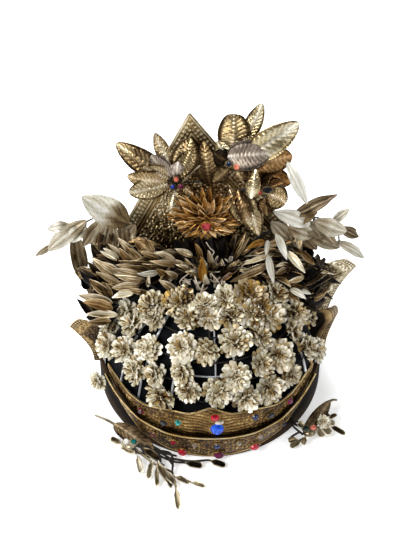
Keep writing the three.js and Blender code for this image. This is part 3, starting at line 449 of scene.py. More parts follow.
# Cloth: the weave as it is drawn, waves of the wave texture in one unit, patches, and depth of the nap
WEAVE = 1.6
WAVES_IN_UNIT = 3.2
CLOTH_PATCH = 22
NAP = 0.25


def cap_cloth():
    """Blue-black woven wool: matt, with a soft bloom at grazing angles; the 0.7 mm weave is drawn at 1.6 mm
    so that it shows"""
    finish, tree, place = new_finish("blue_black_wool")
    warp, weft = (add_node(tree, "TexWave", {
        "bands_direction": direction, "Scale": 1 / (WEAVE * MM) / WAVES_IN_UNIT, "Distortion": 1.5,
        "Detail": 2.0}, {"Vector": place}).outputs["Fac"] for direction in ("X", "Z"))
    weave = add_node(tree, "Math", {"operation": "MULTIPLY"}, {0: warp, 1: weft})
    patches = add_node(tree, "TexNoise", {"Scale": 1 / (CLOTH_PATCH * MM), "Detail": 4.0},
                       {"Vector": place})
    shade = add_node(tree, "ValToRGB",
                     {"stops": [(0.3, "#020306"), (0.55, "#05070c"), (0.75, "#0b0d14")]},
                     {"Fac": patches.outputs["Fac"]})
    nap = add_node(tree, "Bump", {"Strength": 0.5, "Distance": NAP * MM},
                   {"Height": weave.outputs["Value"]})
    lay_surface(tree, {
        "Roughness": 0.85, "Specular IOR Level": 0.2, "Sheen Weight": 0.015, "Sheen Roughness": 0.4,
        "Sheen Tint": colour("#3c445c")},
        {"Base Color": shade.outputs["Color"], "Normal": nap.outputs["Normal"]})
    return finish


# Leather: grain, patches and depth of the pores, and how much paler the rubbed edges are
LEATHER_GRAIN = 1.5
LEATHER_PATCH = 14
PORES = 0.2
EDGE_RUB = 0.55


def rim_leather():
    """Dark brown bridle leather: a low polish, fine grain, and a paler rub along the edges"""
    finish, tree, place = new_finish("dark_brown_leather")
    grain = add_node(tree, "TexVoronoi", {"Scale": 1 / (LEATHER_GRAIN * MM)}, {"Vector": place})
    patches = add_node(tree, "TexNoise", {"Scale": 1 / (LEATHER_PATCH * MM), "Detail": 5.0},
                       {"Vector": place}).outputs["Fac"]
    relief = add_node(tree, "Attribute", {"attribute_name": "relief"})
    level = add_node(tree, "Math", {"operation": "MULTIPLY_ADD", 1: EDGE_RUB},
                     {0: relief.outputs["Fac"], 2: patches})
    shade = add_node(tree, "ValToRGB",
                     {"stops": [(0.35, "#080503"), (0.65, "#120c08"), (1.0, "#3a2c1f")]},
                     {"Fac": level.outputs["Value"]})
    rough = add_node(tree, "MapRange", {"To Min": 0.6, "To Max": 0.8}, {"Value": patches})
    pores = add_node(tree, "Bump", {"Strength": 0.35, "Distance": PORES * MM},
                     {"Height": grain.outputs["Distance"]})
    lay_surface(tree, {"Specular IOR Level": 0.03}, {
        "Base Color": shade.outputs["Color"], "Roughness": rough.outputs["Result"],
        "Normal": pores.outputs["Normal"]})
    return finish


# Glass: size of the patches of painted glint that stand in for its facets catching light
PAINTED_GLINT = 2.4


def cut_glass(name, deep, bright):
    """Foil-backed cut glass: a wet gloss over deep colour, with painted glint: it lightens to the bright
    colour in noise patches that stand in for facets catching light
    """
    finish, tree, place = new_finish(name)
    painted_glints = add_node(tree, "TexNoise", {"Scale": 1 / (PAINTED_GLINT * MM), "Detail": 2.0},
                      {"Vector": place})
    shade = add_node(tree, "ValToRGB", {"stops": [(0.36, deep), (0.62, bright)]},
                     {"Fac": painted_glints.outputs["Fac"]})
    lay_surface(tree, {
        "Roughness": 0.16, "Specular IOR Level": 0.3, "Coat Weight": 0.12, "Coat Roughness": 0.03},
        {"Base Color": shade.outputs["Color"]})
    return finish


CAP_CLOTH = cap_cloth()
RIM_LEATHER = rim_leather()
# Gilt finishes: colours from the hollows to the rubbed heights
PALE_WIRE = gilt(
    "silvered_wire", [(0.1, "#8f949c"), (0.45, "#d6dae0"), (0.8, "#fbfcfd")],
    metallic=0.35, rough=(0.3, 0.45))
FLOWER_GILT = gilt(
    "cream_gilt_petals",
    [(0.45, "#221102"), (0.57, "#755521"), (0.68, "#c3b68d"), (0.86, "#e3dec8"), (1.0, "#faf6e8")],
    metallic=0.45, rough=(0.34, 0.54), patch=9.0, wear=0.9, warm="#b3924f")
DIADEM_GILT = gilt(
    "antique_gold_strip", [(0.2, "#130b05"), (0.45, "#483318"), (0.68, "#7f6335"), (0.95, "#dcc592")],
    patch=11.0, wear=0.55)
PLATE_GILT = gilt(
    "brown_gold_plate", [(0.12, "#120b05"), (0.36, "#4e3b23"), (0.62, "#9a8153"), (0.9, "#f3e8c9")],
    patch=16.0, wear=0.65)
LEAF_GILT = gilt(
    "veined_brass_leaf", [(0.15, "#1c1409"), (0.38, "#604e32"), (0.6, "#ae9f78"), (0.85, "#f1ecd9")],
    patch=14.0, warm="#b5803a")
TAUPE_LEAF = gilt(
    "taupe_leaf", [(0.15, "#1c140f"), (0.38, "#62554a"), (0.6, "#9c8e7e"), (0.85, "#e4dccf")],
    metallic=0.55, rough=(0.34, 0.52), patch=14.0)
AMBER_GILT = gilt(
    "amber_lacquer_petals", [(0.2, "#1c0e04"), (0.4, "#754a19"), (0.62, "#be8b3e"), (0.96, "#f4dfb6")],
    metallic=0.6, rough=(0.28, 0.46), patch=7.0, lines=3)
SPRAY_BRONZE = gilt(
    "tan_bronze_leaf", [(0.14, "#0e0805"), (0.34, "#4c3b21"), (0.52, "#a58f61"), (0.74, "#f8f2dc")],
    metallic=0.7, rough=(0.26, 0.46), patch=12.0, warm="#c29748", lines=5)
PALE_LEAF = gilt(
    "silvered_leaf", [(0.1, "#2a1e10"), (0.3, "#7a6643"), (0.55, "#b3ad9a"), (0.85, "#dfddd4")],
    metallic=0.45, rough=(0.34, 0.55), patch=18.0, wear=0.45, warm="#a08650", lines=3)
WING_GILT = gilt(
    "grey_gold_lace", [(0.2, "#0f0a06"), (0.42, "#4a3d28"), (0.66, "#93876a"), (0.9, "#efe9d6")],
    patch=12.0, wear=0.65)
CALYX = gilt(
    "bleached_calyx", [(0.1, "#5f4f3e"), (0.45, "#ab9880"), (0.85, "#efe6d6")],
    metallic=0.15, rough=(0.4, 0.6))
PENDANT_GILT = gilt(
    "tarnished_gilt", [(0.15, "#17110a"), (0.36, "#5c4f38"), (0.58, "#978b70"), (0.88, "#e4ddc8")], patch=9.0)
DARK_TWIG = gilt(
    "blackened_wire", [(0.2, "#080706"), (0.6, "#1d1712"), (0.95, "#43382b")],
    metallic=0.1, rough=(0.6, 0.8))
EDGE_GILT = gilt(
    "rubbed_gold_wire", [(0.15, "#3d2b12"), (0.5, "#9c7e46"), (0.9, "#ecdcae")], rough=(0.22, 0.4))

# Each glass: its name, its deep colour, and the bright colour of its painted glint patches
STONE_FINISHES = {slot: cut_glass(*look) for slot, look in {
    "stone_red": ("ruby_glass", "#5e0614", "#c2182f"),
    "stone_blue": ("sapphire_glass", "#0b2a94", "#2f6cf2"),
    "stone_teal": ("teal_glass", "#055a58", "#12a79c"),
    "stone_black": ("jet_glass", "#08080a", "#1c1c22"),
    "stone_garnet": ("garnet_glass", "#2a040b", "#6d1020"),
    "stone_navy": ("navy_glass", "#0b0f20", "#2a3a66"),
    "stone_purple": ("amethyst_glass", "#2c0618", "#7c1a4c"),
    "stone_pale": ("pearl_glass", "#8f8674", "#e0dace"),
    "stone_smoky": ("smoky_glass", "#3b332b", "#8c8174"),
    "stone_coral": ("coral_glass", "#8f3324", "#e58a72"),
    "stone_green": ("dark_green_glass", "#06110d", "#1c3b30"),
}.items()}
# Stones that are deeper in colour than the others of their slot
DEEP_FINISHES = {name: cut_glass(*look) for name, look in {
    "rosette_left_blue": ("deep_sapphire_glass", "#0a1440", "#2a3f93"),
    "rosette_low_coral": ("garnet_coral_glass", "#4a0d10", "#a0403c"),
    "rosette_low_bead": ("black_bead_glass", "#08080a", "#26262e"),
    "chrysanthemum_stone": ("coral_red_glass", "#5c1118", "#b8464a"),
    "stone_lower_rose": ("deep_rose_glass", "#3a0710", "#8c1426"),
    "stone_lower_pearl": ("smoky_pearl_glass", "#4b3f35", "#a3968a"),
    "stone_lower_crystal": ("smoky_crystal_glass", "#4d443a", "#a89e90"),
    "pendant_left_bead": ("white_pearl_glass", "#b9b3a6", "#fbfaf6"),
    "pendant_left_teal": ("deep_teal_glass", "#043534", "#0b6f69"),
}.items()}


# Cap and rim

# Faces round and up the cap, how far the cloth lies inside the solid's face and above the floor, and dents
# where it is drawn over the frame (depth, how many go round, slant for each mm of height)
CAP_FACES = (112, 44)
CLOTH_SINK = 0.9
CLOTH_FOOT = 0.2
LONG_DENTS = (0.5, 9, 0.06)
SHORT_DENTS = (0.35, 5, -0.11)
# Faces round the rim, the round of its edges, and how far in they are rubbed
RIM_FACES = 144
RIM_BEVEL = 0.7
RIM_RUB = 2.2


def make_cap():
    clear_selection()
    bpy.ops.mesh.primitive_uv_sphere_add(segments=CAP_FACES[0], ring_count=CAP_FACES[1], radius=1)
    cap = bpy.context.object
    bpy.ops.object.mode_set(mode="EDIT")
    bpy.ops.mesh.select_all(action="SELECT")
    bpy.ops.mesh.bisect(plane_co=(0, 0, 0), plane_no=(0, 0, 1), clear_inner=True)
    bpy.ops.object.mode_set(mode="OBJECT")
    ball = points_of(cap)
    azimuth = np.degrees(np.arctan2(ball[:, 0], -ball[:, 1]))
    height = CAP_HEIGHT * np.clip(ball[:, 2], 0, 1)
    long, short = (depth * np.sin(np.radians(azimuth) * count + height * slant)
                   for depth, count, slant in (LONG_DENTS, SHORT_DENTS))
    pull = long * np.sin(np.pi * height / CAP_HEIGHT) ** 2 + short
    points, _ = cap_point(azimuth, height, pull - CLOTH_SINK)
    points[:, 2] = np.maximum(points[:, 2], CLOTH_FOOT)
    reshape(cap, points)
    finish_with(cap, "SOLIDIFY", thickness=CAP_WALL, offset=-1)
    put("cap_cloth", [take(cap)], CAP_CLOTH, ["cap_shell"])


def make_rim():
    clear_selection()
    bpy.ops.mesh.primitive_cylinder_add(vertices=RIM_FACES, radius=1, depth=RIM_HEIGHT,
                                        end_fill_type="NOTHING", location=(0, 0, RIM_HEIGHT / 2))
    rim = bpy.context.object
    rim.scale = (CAP_HALF_WIDTH + GAP + RIM_WALL / 2, CAP_HALF_DEPTH + GAP + RIM_WALL / 2, 1)
    bpy.ops.object.transform_apply(location=True, rotation=True, scale=True)
    bpy.ops.object.mode_set(mode="EDIT")
    bpy.ops.mesh.select_all(action="SELECT")
    bpy.ops.mesh.subdivide(number_cuts=1)
    bpy.ops.object.mode_set(mode="OBJECT")
    finish_with(rim, "SOLIDIFY", thickness=RIM_WALL, offset=0)
    finish_with(rim, "BEVEL", width=RIM_BEVEL, segments=2, limit_method="ANGLE")
    whole = take(rim)
    edge = np.minimum(whole.points[:, 2], RIM_HEIGHT - whole.points[:, 2])
    worn = whole._replace(relief=ridge(edge, RIM_RUB))
    put("rim_leather", [worn], RIM_LEATHER, ["rim_band"])


# Leaves

# How far a stain darkens a leaf, and how far a stalk runs into its leaf, as a share of the leaf
STAIN_DARKENS = 0.55
STALK_IN_LEAF = 0.08


def stamped_leaf(length=40.0, width=18.0, veins=11, depth=1.7, columns=14, rows=50, wall=0.45, blunt=0.55):
    """Stamped leaf: bulged cells between sunk side veins, a raised midrib and a flat, ticked margin"""
    def shape(u, v):
        side = np.abs(2 * u - 1)
        half = np.maximum(np.sin(np.pi * v ** 0.85) ** blunt, 0.02) * width / 2
        cell = np.abs(np.sin(np.pi * (v * veins - 2.2 * side))) ** 0.5
        cell = cell * np.clip((0.84 - side) / 0.1, 0, 1)
        rib = ridge(side * half, 0.9)
        edge = ridge((1 - side) * half, 0.7) * (0.6 + 0.4 * np.cos(TURN * v * length / 1.9))
        raised = np.clip(0.7 * cell * (1 - rib) + rib + 0.6 * edge, 0, 1)
        worn = np.clip(0.14 + 0.6 * cell + 0.6 * rib + 0.35 * edge, 0, 1)
        return np.stack([(2 * u - 1) * half, v * length, depth * raised], -1), worn
    return Master(pressed(columns, rows, shape, wall), length, width)


def plain_leaf(length=40.0, width=16.0, columns=22, rows=32, wall=0.45, blunt=0.72):
    """Thin leaf with a midrib, fine slanting veins and a slightly waved edge"""
    def shape(u, v):
        side = 2 * u - 1
        half = np.maximum(np.sin(np.pi * v ** 0.9) ** blunt, 0.03) * width / 2
        rib = ridge(side * half, 0.7)
        vein = ridge(np.sin(np.pi * (3.2 * np.abs(side) - 5.5 * v)), 0.26)
        wave = 0.6 * side ** 2 * np.sin(TURN * (2.3 * v + 0.2 * np.sign(side)))
        worn = np.clip(0.66 - 0.6 * vein + 0.3 * rib + 0.3 * np.abs(side) ** 6, 0, 1)
        return np.stack([side * half, v * length, 0.3 * rib - 0.12 * vein + wave], -1), worn
    return Master(pressed(columns, rows, shape, wall), length, width)


def willow_leaf(length=32.0, width=7.6, columns=4, rows=5, wall=0.4):
    """Narrow leaf with a channel along its middle, a narrow bright edge, and painted light on one half with
    painted shade on the other
    """
    def shape(u, v):
        side = np.sign(2 * u - 1) * np.abs(2 * u - 1) ** 0.6
        half = np.maximum(np.sin(np.pi * v ** 0.8) ** 0.75, 0.06) * width / 2
        # The 0.3 * side term is painted light on one half of the leaf and painted shade on the other
        worn = np.clip(0.28 + 0.55 * np.abs(side) ** 7 + 0.2 * v + 0.3 * side, 0, 1)
        return np.stack([side * half, v * length, 0.3 * side ** 2 * half], -1), worn
    return Master(pressed(columns, rows, shape, wall), length, width)


def paddle(length=14.0, width=5.0, columns=6, rows=14, wall=0.9):
    """Little pressed tongue on a thin neck, with a raised border"""
    def shape(u, v):
        side = 2 * u - 1
        round_end = np.sqrt(np.clip(1 - np.clip((v - 0.78) / 0.22, 0, 1) ** 2.4, 0.03, 1))
        half = width / 2 * round_end * (0.3 + 0.7 * np.clip((v - 0.08) / 0.25, 0, 1))
        edge = ridge(half * (1 - np.abs(side)), 0.7)
        worn = np.clip(0.2 + 0.8 * edge + 0.2 * ridge(side * half, 0.5), 0, 1)
        return np.stack([side * half, v * length, 0.5 * worn], -1), worn
    return Master(pressed(columns, rows, shape, wall), length, width)


def laid(master, start, tip, width, face, bow=0.08, twist=0.0, fold=0.12, droop=0.0, tone=PLAIN_TONE, hue=0.0,
         stain=0.0):
    """A copy of a leaf bent from its start to its tip: face is the side that it shows, bow lifts its middle,
    droop bends its tip back, fold raises its edges, twist turns its tip in radians, stain warms its foot"""
    start, tip = np.asarray(start, float), np.asarray(tip, float)
    run = tip - start
    reach = np.linalg.norm(run)
    along = run / reach
    lift = unit(np.asarray(face, float) - along * np.dot(face, along))
    across = np.cross(along, lift)
    x, y, z = master.part.points.T
    share = y / master.length
    wide = x * width / master.width
    rise = reach * (4 * bow * share * (1 - share) - droop * (share ** 3 - share))
    angle = twist * share
    side = np.cos(angle)[:, None] * across + np.sin(angle)[:, None] * lift
    top = np.cos(angle)[:, None] * lift - np.sin(angle)[:, None] * across
    points = start + share[:, None] * run + rise[:, None] * lift
    points += wide[:, None] * side + (z + fold * np.abs(wide))[:, None] * top
    foot = stain * np.clip(2 - 4 * share, 0, 1)
    return master.part._replace(points=points, tone=tone - STAIN_DARKENS * foot, hue=hue + foot)


# Flowers

# Radius, then tiers of petals (count, reach as a share of the radius, tilt towards the viewer in degrees,
# lift), and how far petals and whole flowers differ from each other
FLOWER_RADIUS = 12.2
FLOWER_TIERS = ((8, 1.0, -2, 0.0), (7, 0.83, 13, 1.1), (6, 0.65, 29, 2.0), (4, 0.42, 50, 2.6))
FLOWER_KINDS = 6
PETAL_PHASES = (0.0, 0.3, 0.62)
PETAL_LENGTH = 10.0
PETAL_FOOT = 0.8
PETAL_WALL = 0.35
PETAL_FACES = (8, 3)
PETAL_SHIFT = 0.18
PETAL_TILT = 17
PETAL_SIZES = (0.88, 1.1)
PETAL_TONES = (-0.34, 0.2)
PETAL_WARMTHS = (-2.0, 0.9)
FLOWER_TILT = 0.32
FLOWER_SIZES = (0.86, 1.12)
FLOWER_SPINS = (0, 6.28)
FLOWER_TONES = (-0.16, 0.12)
# Stems and wires: how far from the cap's face they run, how far a flower sits down on its stem, by how many
# degrees a hoop runs past its last flower, and radii
FLOWER_ROOT = 2.5
FLOWER_SINK = 1.0
HOOP_OVERRUN = 3
HOOP_OFFSET = 3.1
LATTICE_OFFSET = 1.4
WIRE_RADIUS = 0.9
THIN_WIRE_RADIUS = 0.6
STEM_RADIUS = 0.8
RIB_AZIMUTHS = (-54, -40, -21, 15, 33, 61)
RIB_HEIGHTS = (34, 55, 76, 91, 97)
# Wires that cross in the gap between flowers: azimuth and heights of the upright one, height and azimuths of
# the other
CROSS_UPRIGHT = (3, (45, 90))
CROSS_HOOP = (67, (-14, 14))
# Each row: height of its hoop, then for each flower its azimuth, rise above the hoop and stand-off
FLOWER_ROWS = (
    (96, ((-52, -6, 11), (-30, 0, 11), (-6, 1, 10), (16, 2, 10), (43, 1, 11), (43, -4, 13), (62, -5, 11))),
    (87, ((-68, -8, 9), (-45, 1, 9), (-19, 6, 9), (-1, 7, 9), (18, 7, 9), (35, 5, 9), (48, 0, 9),
          (66, -8, 10))),
    (75, ((-74, -9, 9), (-56, 3, 9), (-39, -1, 9), (-18, 6, 9), (-3, 6, 9), (16, 9, 9), (34, 7, 9),
          (57, -1, 9), (75, -6, 9))),
    (62, ((-66, -7, 9), (-53, 2, 9), (-42, -4, 9), (-30, 1, 9), (-15, 7, 9), (14, 5, 9), (29, 8, 9),
          (41, 7, 9), (60, -2, 9))),
    (51, ((-25, -1, 8), (-11, 8, 7), (4, 8, 7), (18, 1, 7), (31, 1, 7), (45, 1, 7), (70, -5, 6))),
)
# The low flower at the side: azimuth, height and stand-off, radius, facing to the front and up, spin and tone
SIDE_FLOWER = (-66, 24, 6.5)
SIDE_FLOWER_RADIUS = 8.6
SIDE_FLOWER_FACING = (0.6, 0.5)
SIDE_FLOWER_SPIN = 0.4
SIDE_FLOWER_TONE = 0.1
# How far the petals of each row, from the top down, may have browned, in the middle and more for each degree
# to the right, and how far that darkens them
ROW_TARNISH = (0.7, 0.4, 0.2, 0.12, 0.2)
TARNISH_PER_DEGREE = 0.011
TARNISH_DARKENS = 0.42


def petal(phase, spread=33.0):
    """Ruffled petal with two round lobes, a short crease between them and a crumpled face"""
    def shape(u, v):
        side = 2 * u - 1
        crease = ridge(side, 0.2) * v ** 2
        out = PETAL_FOOT + (PETAL_LENGTH - PETAL_FOOT) * v * (1 - 0.32 * np.abs(side) ** 3 - 0.2 * crease)
        angle = np.radians(spread) * side * (0.6 + 0.4 * v)
        cup = np.sin(np.pi * np.abs(side))
        crumple = np.cos(TURN * (1.4 * side + phase)) * np.cos(TURN * (0.9 * v + 1.7 * phase))
        worn = np.clip(0.38 + 0.22 * v + 0.22 * cup * v + 0.3 * crumple - 0.3 * crease, 0, 1)
        height = v ** 1.3 * (1.3 * cup + crumple) + 0.6 * v ** 2 - 1.1 * side ** 2 * v - 0.5 * crease
        return np.stack([out * np.sin(angle), out * np.cos(angle), height], -1), worn
    return pressed(*PETAL_FACES, shape, PETAL_WALL)


def ruffled_flower(petals, rng):
    """Flower of unit radius facing +Z, from tiers of petals"""
    parts = []
    for count, reach, tilt, lift in FLOWER_TIERS:
        start = rng.uniform(0, TURN)
        for k in range(count):
            spin = start + TURN * (k + rng.uniform(-PETAL_SHIFT, PETAL_SHIFT)) / count
            lean = math.radians(tilt + rng.uniform(-PETAL_TILT, PETAL_TILT))
            size = reach * rng.uniform(*PETAL_SIZES) / PETAL_LENGTH
            along = np.array([math.cos(spin), math.sin(spin), 0.0])
            aside = np.array([math.sin(spin), -math.cos(spin), 0.0])
            out = along * math.cos(lean) + UP * math.sin(lean)
            face = UP * math.cos(lean) - along * math.sin(lean)
            kind = petals[rng.integers(len(petals))]
            tone = PLAIN_TONE + rng.uniform(*PETAL_TONES)
            hue = max(0.0, rng.uniform(*PETAL_WARMTHS))
            rows = np.stack([aside, out, face]) * size
            parts.append(moved(kind, rows, UP * lift / PETAL_LENGTH, tone, hue))
    return joined(parts)


def faced(part, centre, facing, size, spin, tone):
    """A copy of a flower turned to a facing"""
    facing = unit(facing)
    aside = unit(np.cross(facing, UP if abs(facing[2]) < 0.9 else FRONT))
    upwards = np.cross(aside, facing)
    across = aside * math.cos(spin) + upwards * math.sin(spin)
    back = np.cross(facing, across)
    copy = moved(part, np.stack([across, back, facing]) * size, centre)
    return copy._replace(tone=np.clip(part.tone + tone, 0, 1))


def cap_wire(azimuths, heights, offset, count):
    """Wire over the cap, level or upright"""
    return cap_point(np.linspace(*azimuths, count), np.linspace(*heights, count), offset)[0]


def make_flowers():
    rng = np.random.default_rng(11)
    tarnish = np.random.default_rng(23)
    petals = [petal(phase) for phase in PETAL_PHASES]
    heads = [ruffled_flower(petals, rng) for _ in range(FLOWER_KINDS)]
    stems, hoops = [], []
    for number, (height, flowers) in enumerate(FLOWER_ROWS, 1):
        row = []
        for azimuth, rise, reach in flowers:
            root, _ = cap_point(azimuth, height, FLOWER_ROOT)
            centre, normal = cap_point(azimuth, height + rise, reach - FLOWER_SINK)
            facing = unit(normal + jitter(rng, FLOWER_TILT))
            size = FLOWER_RADIUS * rng.uniform(*FLOWER_SIZES)
            flower = faced(heads[rng.integers(len(heads))], centre, facing, size, rng.uniform(*FLOWER_SPINS),
                           rng.uniform(*FLOWER_TONES))
            brown = tarnish.uniform(0, 1) * ROW_TARNISH[number - 1] * (1 + TARNISH_PER_DEGREE * azimuth)
            row.append(flower._replace(hue=np.clip(flower.hue + brown, 0, 1),
                                       tone=flower.tone - TARNISH_DARKENS * brown))
            stems.append(smooth_route([root, (root + centre) / 2 + normal, centre], 5))
        put(f"flowers_{number}", row, FLOWER_GILT, [f"flower_row_{number}"], smooth=60)
        ends = (flowers[0][0] - HOOP_OVERRUN, flowers[-1][0] + HOOP_OVERRUN)
        hoops.append(cap_wire(ends, (height, height), HOOP_OFFSET, 40))
    azimuth, height, reach = SIDE_FLOWER
    centre = wall_point(azimuth, height, reach)
    stems.append(np.linspace(wall_point(azimuth, height, GAP), centre, 4))
    forward, upward = SIDE_FLOWER_FACING
    facing = wall_normal(azimuth) + FRONT * forward + UP * upward
    side = faced(heads[1], centre, facing, SIDE_FLOWER_RADIUS, SIDE_FLOWER_SPIN, SIDE_FLOWER_TONE)
    put("side_flower_petals", [side], FLOWER_GILT, ["side_flower"], smooth=60)
    lattice = [smooth_route(cap_point(azimuth, np.array(RIB_HEIGHTS), LATTICE_OFFSET)[0], 24)
               for azimuth in RIB_AZIMUTHS]
    foot = RIB_HEIGHTS[0]
    lattice.append(cap_wire((RIB_AZIMUTHS[0], RIB_AZIMUTHS[-1]), (foot, foot), LATTICE_OFFSET, 40))
    put("lattice_wires", [wires(lattice, WIRE_RADIUS)], PALE_WIRE, ["flower_lattice"])
    azimuth, heights = CROSS_UPRIGHT
    height, azimuths = CROSS_HOOP
    cross = [cap_wire((azimuth, azimuth), heights, LATTICE_OFFSET, 20),
             cap_wire(azimuths, (height, height), LATTICE_OFFSET, 20)]
    put("flower_wires", [wires(cross, THIN_WIRE_RADIUS)], PALE_WIRE)
    put("flower_stems", [wires(hoops, THIN_WIRE_RADIUS), wires(stems, STEM_RADIUS)], DARK_TWIG)
    return heads


# Diadems

# Wall of the solid, share of the flare at mid height and swell there, wall and height of the pressed sheet,
# width of its raised borders, pitch and size of its grains, and the rolled wire along its edges
STRIP_WALL = 1.3
BELLY_SHARE = 0.35
SWELL = 0.5
STRIP_SHEET = 0.6
STRIP_SINK = 0.5
STRIP_RELIEF = 0.6
STRIP_BORDER = 0.9
STRIP_GRAIN = (2.5, 0.9)
STRIP_EDGE_RADIUS = 0.6
STRIP_EDGE_SINK = 0.3
# Each strip: reach in degrees, stand-off and flare, and its edges as rows of azimuth, bottom and top
UPPER_STRIP = (58, 0.5, 0.0, (
    (0, 14, 57), (10, 14.5, 49), (22, 17, 48), (33, 21, 43), (42, 30, 45), (50, 41, 51), (58, 51, 54)))
LOWER_STRIP = (57, 1.2, 3.4, (
    (0, 4, 28), (20, 6.5, 27), (35, 13, 30), (48, 28, 39), (57, 44, 47)))
# Share of a strip's height over which its slope is taken
SLOPE_STEP = 0.01


def strip_edges(strip, azimuth):
    rows = np.array(strip[3], float)
    reach = np.abs(azimuth)
    return np.interp(reach, rows[:, 0], rows[:, 1]), np.interp(reach, rows[:, 0], rows[:, 2])


def strip_stand(strip, share):
    """Stand-off of a strip's face at a share of its height"""
    _, stand_off, flare, _ = strip
    outer = stand_off + STRIP_WALL
    return np.interp(share, [0, 0.5, 1], [outer, outer + flare * BELLY_SHARE + SWELL, outer + flare])


def bordered(field, share, tall, margin, fade):
    """A field that fades out before the raised borders of a strip"""
    inner = np.clip((np.minimum(share, 1 - share) * tall - margin) / fade, 0, 1)
    rim = ridge(share * tall, STRIP_BORDER) + ridge((1 - share) * tall, STRIP_BORDER)
    return np.clip(field * inner + rim, 0, 1)


def upper_relief(along, height, share, tall):
    """Long waves that flow from the middle, and grains towards the ends"""
    swell = height + 5.0 * np.sin(along / 13.0) * np.exp(-np.abs(along) / 55) + 0.7 * np.sin(along / 3.7)
    flow = 0.5 + 0.5 * np.cos(TURN * swell / 3.1 + 0.8 * np.sin(along / 5.0 + height / 3.0))
    ends = np.clip((np.abs(along) - 14) / 18, 0, 1)
    field = flow * (0.75 - 0.5 * ends) + studs(along, height, *STRIP_GRAIN) * (0.3 + 0.55 * ends)
    return bordered(0.85 * field, share, tall, 1.4, 1.2)


def lower_relief(along, height, share, tall):
    """Close grains and curls"""
    field = 0.85 * studs(along, height, *STRIP_GRAIN) + 0.35 * scrolls(along + 3.0, height, 8.0, 2.9)
    return bordered(field, share, tall, 1.8, 1.0)


def make_strip(name, strip, pattern, node, columns, rows):
    def shape(u, v):
        azimuth = strip[0] * (2 * u - 1)
        bottom, top = strip_edges(strip, azimuth)
        tall = top - bottom
        height = bottom + v * tall
        along = np.radians(azimuth) * (CAP_HALF_WIDTH + CAP_HALF_DEPTH) / 2
        raised = pattern(along, height, v, tall)
        return wall_point(azimuth, height, strip_stand(strip, v) - STRIP_SINK + STRIP_RELIEF * raised), raised
    put(name, [pressed(columns, rows, shape, STRIP_SHEET)], DIADEM_GILT, [node])


def strip_edge_route(strip, share, count=90):
    azimuth = np.linspace(-strip[0], strip[0], count)
    bottom, top = strip_edges(strip, azimuth)
    return wall_point(azimuth, bottom + share * (top - bottom), strip_stand(strip, share) - STRIP_EDGE_SINK)


def make_diadems():
    make_strip("diadem_upper_sheet", UPPER_STRIP, upper_relief, "diadem_upper", 320, 44)
    make_strip("diadem_lower_sheet", LOWER_STRIP, lower_relief, "diadem_lower", 320, 34)
    edges = [strip_edge_route(strip, share) for strip in (UPPER_STRIP, LOWER_STRIP) for share in (0, 1)]
    put("diadem_edge_wires", [wires(edges, STRIP_EDGE_RADIUS)], EDGE_GILT)


# Stones

# Stones on the strips, and drops: name, azimuth, height, half sizes along and up, and depth
STRIP_STONES = {
    "stone_upper": (UPPER_STRIP, (
        ("red", 2, 48, 3.2, 3.2, 3.0), ("blue", 3, 36, 5.0, 5.0, 4.0), ("teal", -15, 39, 2.4, 2.4, 2.4),
        ("black_left", -22, 34, 3.4, 2.6, 2.0), ("garnet", -34, 36, 2.8, 2.8, 2.4),
        ("navy", 21, 41, 2.8, 2.8, 2.4), ("black_right", 29, 36, 3.4, 2.6, 2.0),
        ("purple", 40, 39.5, 2.6, 2.6, 2.4))),
    "stone_lower": (LOWER_STRIP, (
        ("garnet", -27, 19, 2.4, 2.4, 2.0), ("rose", -17, 18, 2.4, 2.4, 2.0),
        ("pearl", -7, 20, 2.0, 2.0, 2.0), ("navy", 3, 19, 2.8, 2.8, 2.0), ("crystal", 13, 20, 2.0, 2.0, 2.0),
        ("smoky", 23, 21, 2.4, 2.4, 2.0), ("black", 36, 21, 2.4, 2.4, 2.0))),
    "drop": (LOWER_STRIP, (
        ("red_left", -13, 7.5, 4.0, 3.0, 3.0), ("purple", 4, 7, 4.2, 3.0, 3.0),
        ("red_right", 21, 9, 4.0, 3.0, 3.0))),
}
# The cream bead over the large blue stone: azimuth, height and half sizes
STRIP_PEARL = (4, 42.2, 3.4, 1.8, 1.8)


def strip_stone_seat(strip, azimuth, height):
    """Seat of a stone on a strip: its place, and the directions out, along and up"""
    bottom, top = strip_edges(strip, azimuth)
    share = (height - bottom) / (top - bottom)
    stand = strip_stand(strip, share)
    outward = strip_stand(strip, share + SLOPE_STEP) - strip_stand(strip, share - SLOPE_STEP)
    out = unit(wall_normal(azimuth) - UP * outward / (2 * SLOPE_STEP * (top - bottom)))
    along = unit(np.cross(UP, out))
    return wall_point(azimuth, height, stand) + out * GAP, out, along, np.cross(out, along)


# Stone and collet, as shares of the stone's half size: faces round, depth of the girdle, rows of facets (rise
# and how far they close), and radii of the collet's ring
STONE_FACES = 14
GIRDLE_DEPTH = 0.22
STONE_FACETS = ((0.46, 0.82), (0.32, 0.66))
COLLET_RADII = (1.08, 0.16)


def cut_stone():
    """Stone of unit girdle: a low girdle, two rows of sloping facets and a flat table"""
    clear_selection()
    bpy.ops.mesh.primitive_cylinder_add(vertices=STONE_FACES, radius=1, depth=GIRDLE_DEPTH,
                                        location=(0, 0, GIRDLE_DEPTH / 2))
    made = bpy.context.object
    bpy.ops.object.transform_apply(location=True, rotation=True, scale=True)
    bpy.ops.object.mode_set(mode="EDIT")
    bpy.context.tool_settings.mesh_select_mode = (False, False, True)
    for rise, shrink in STONE_FACETS:
        bpy.ops.object.mode_set(mode="OBJECT")
        highest = max(face.center.z for face in made.data.polygons)
        for face in made.data.polygons:
            face.select = face.center.z > highest - TINY
        bpy.ops.object.mode_set(mode="EDIT")
        bpy.ops.mesh.extrude_region_move(TRANSFORM_OT_translate={"value": (0, 0, rise)})
        bpy.ops.transform.resize(value=(shrink, shrink, 1), center_override=(0, 0, 0))
    bpy.ops.object.mode_set(mode="OBJECT")
    return take(made)


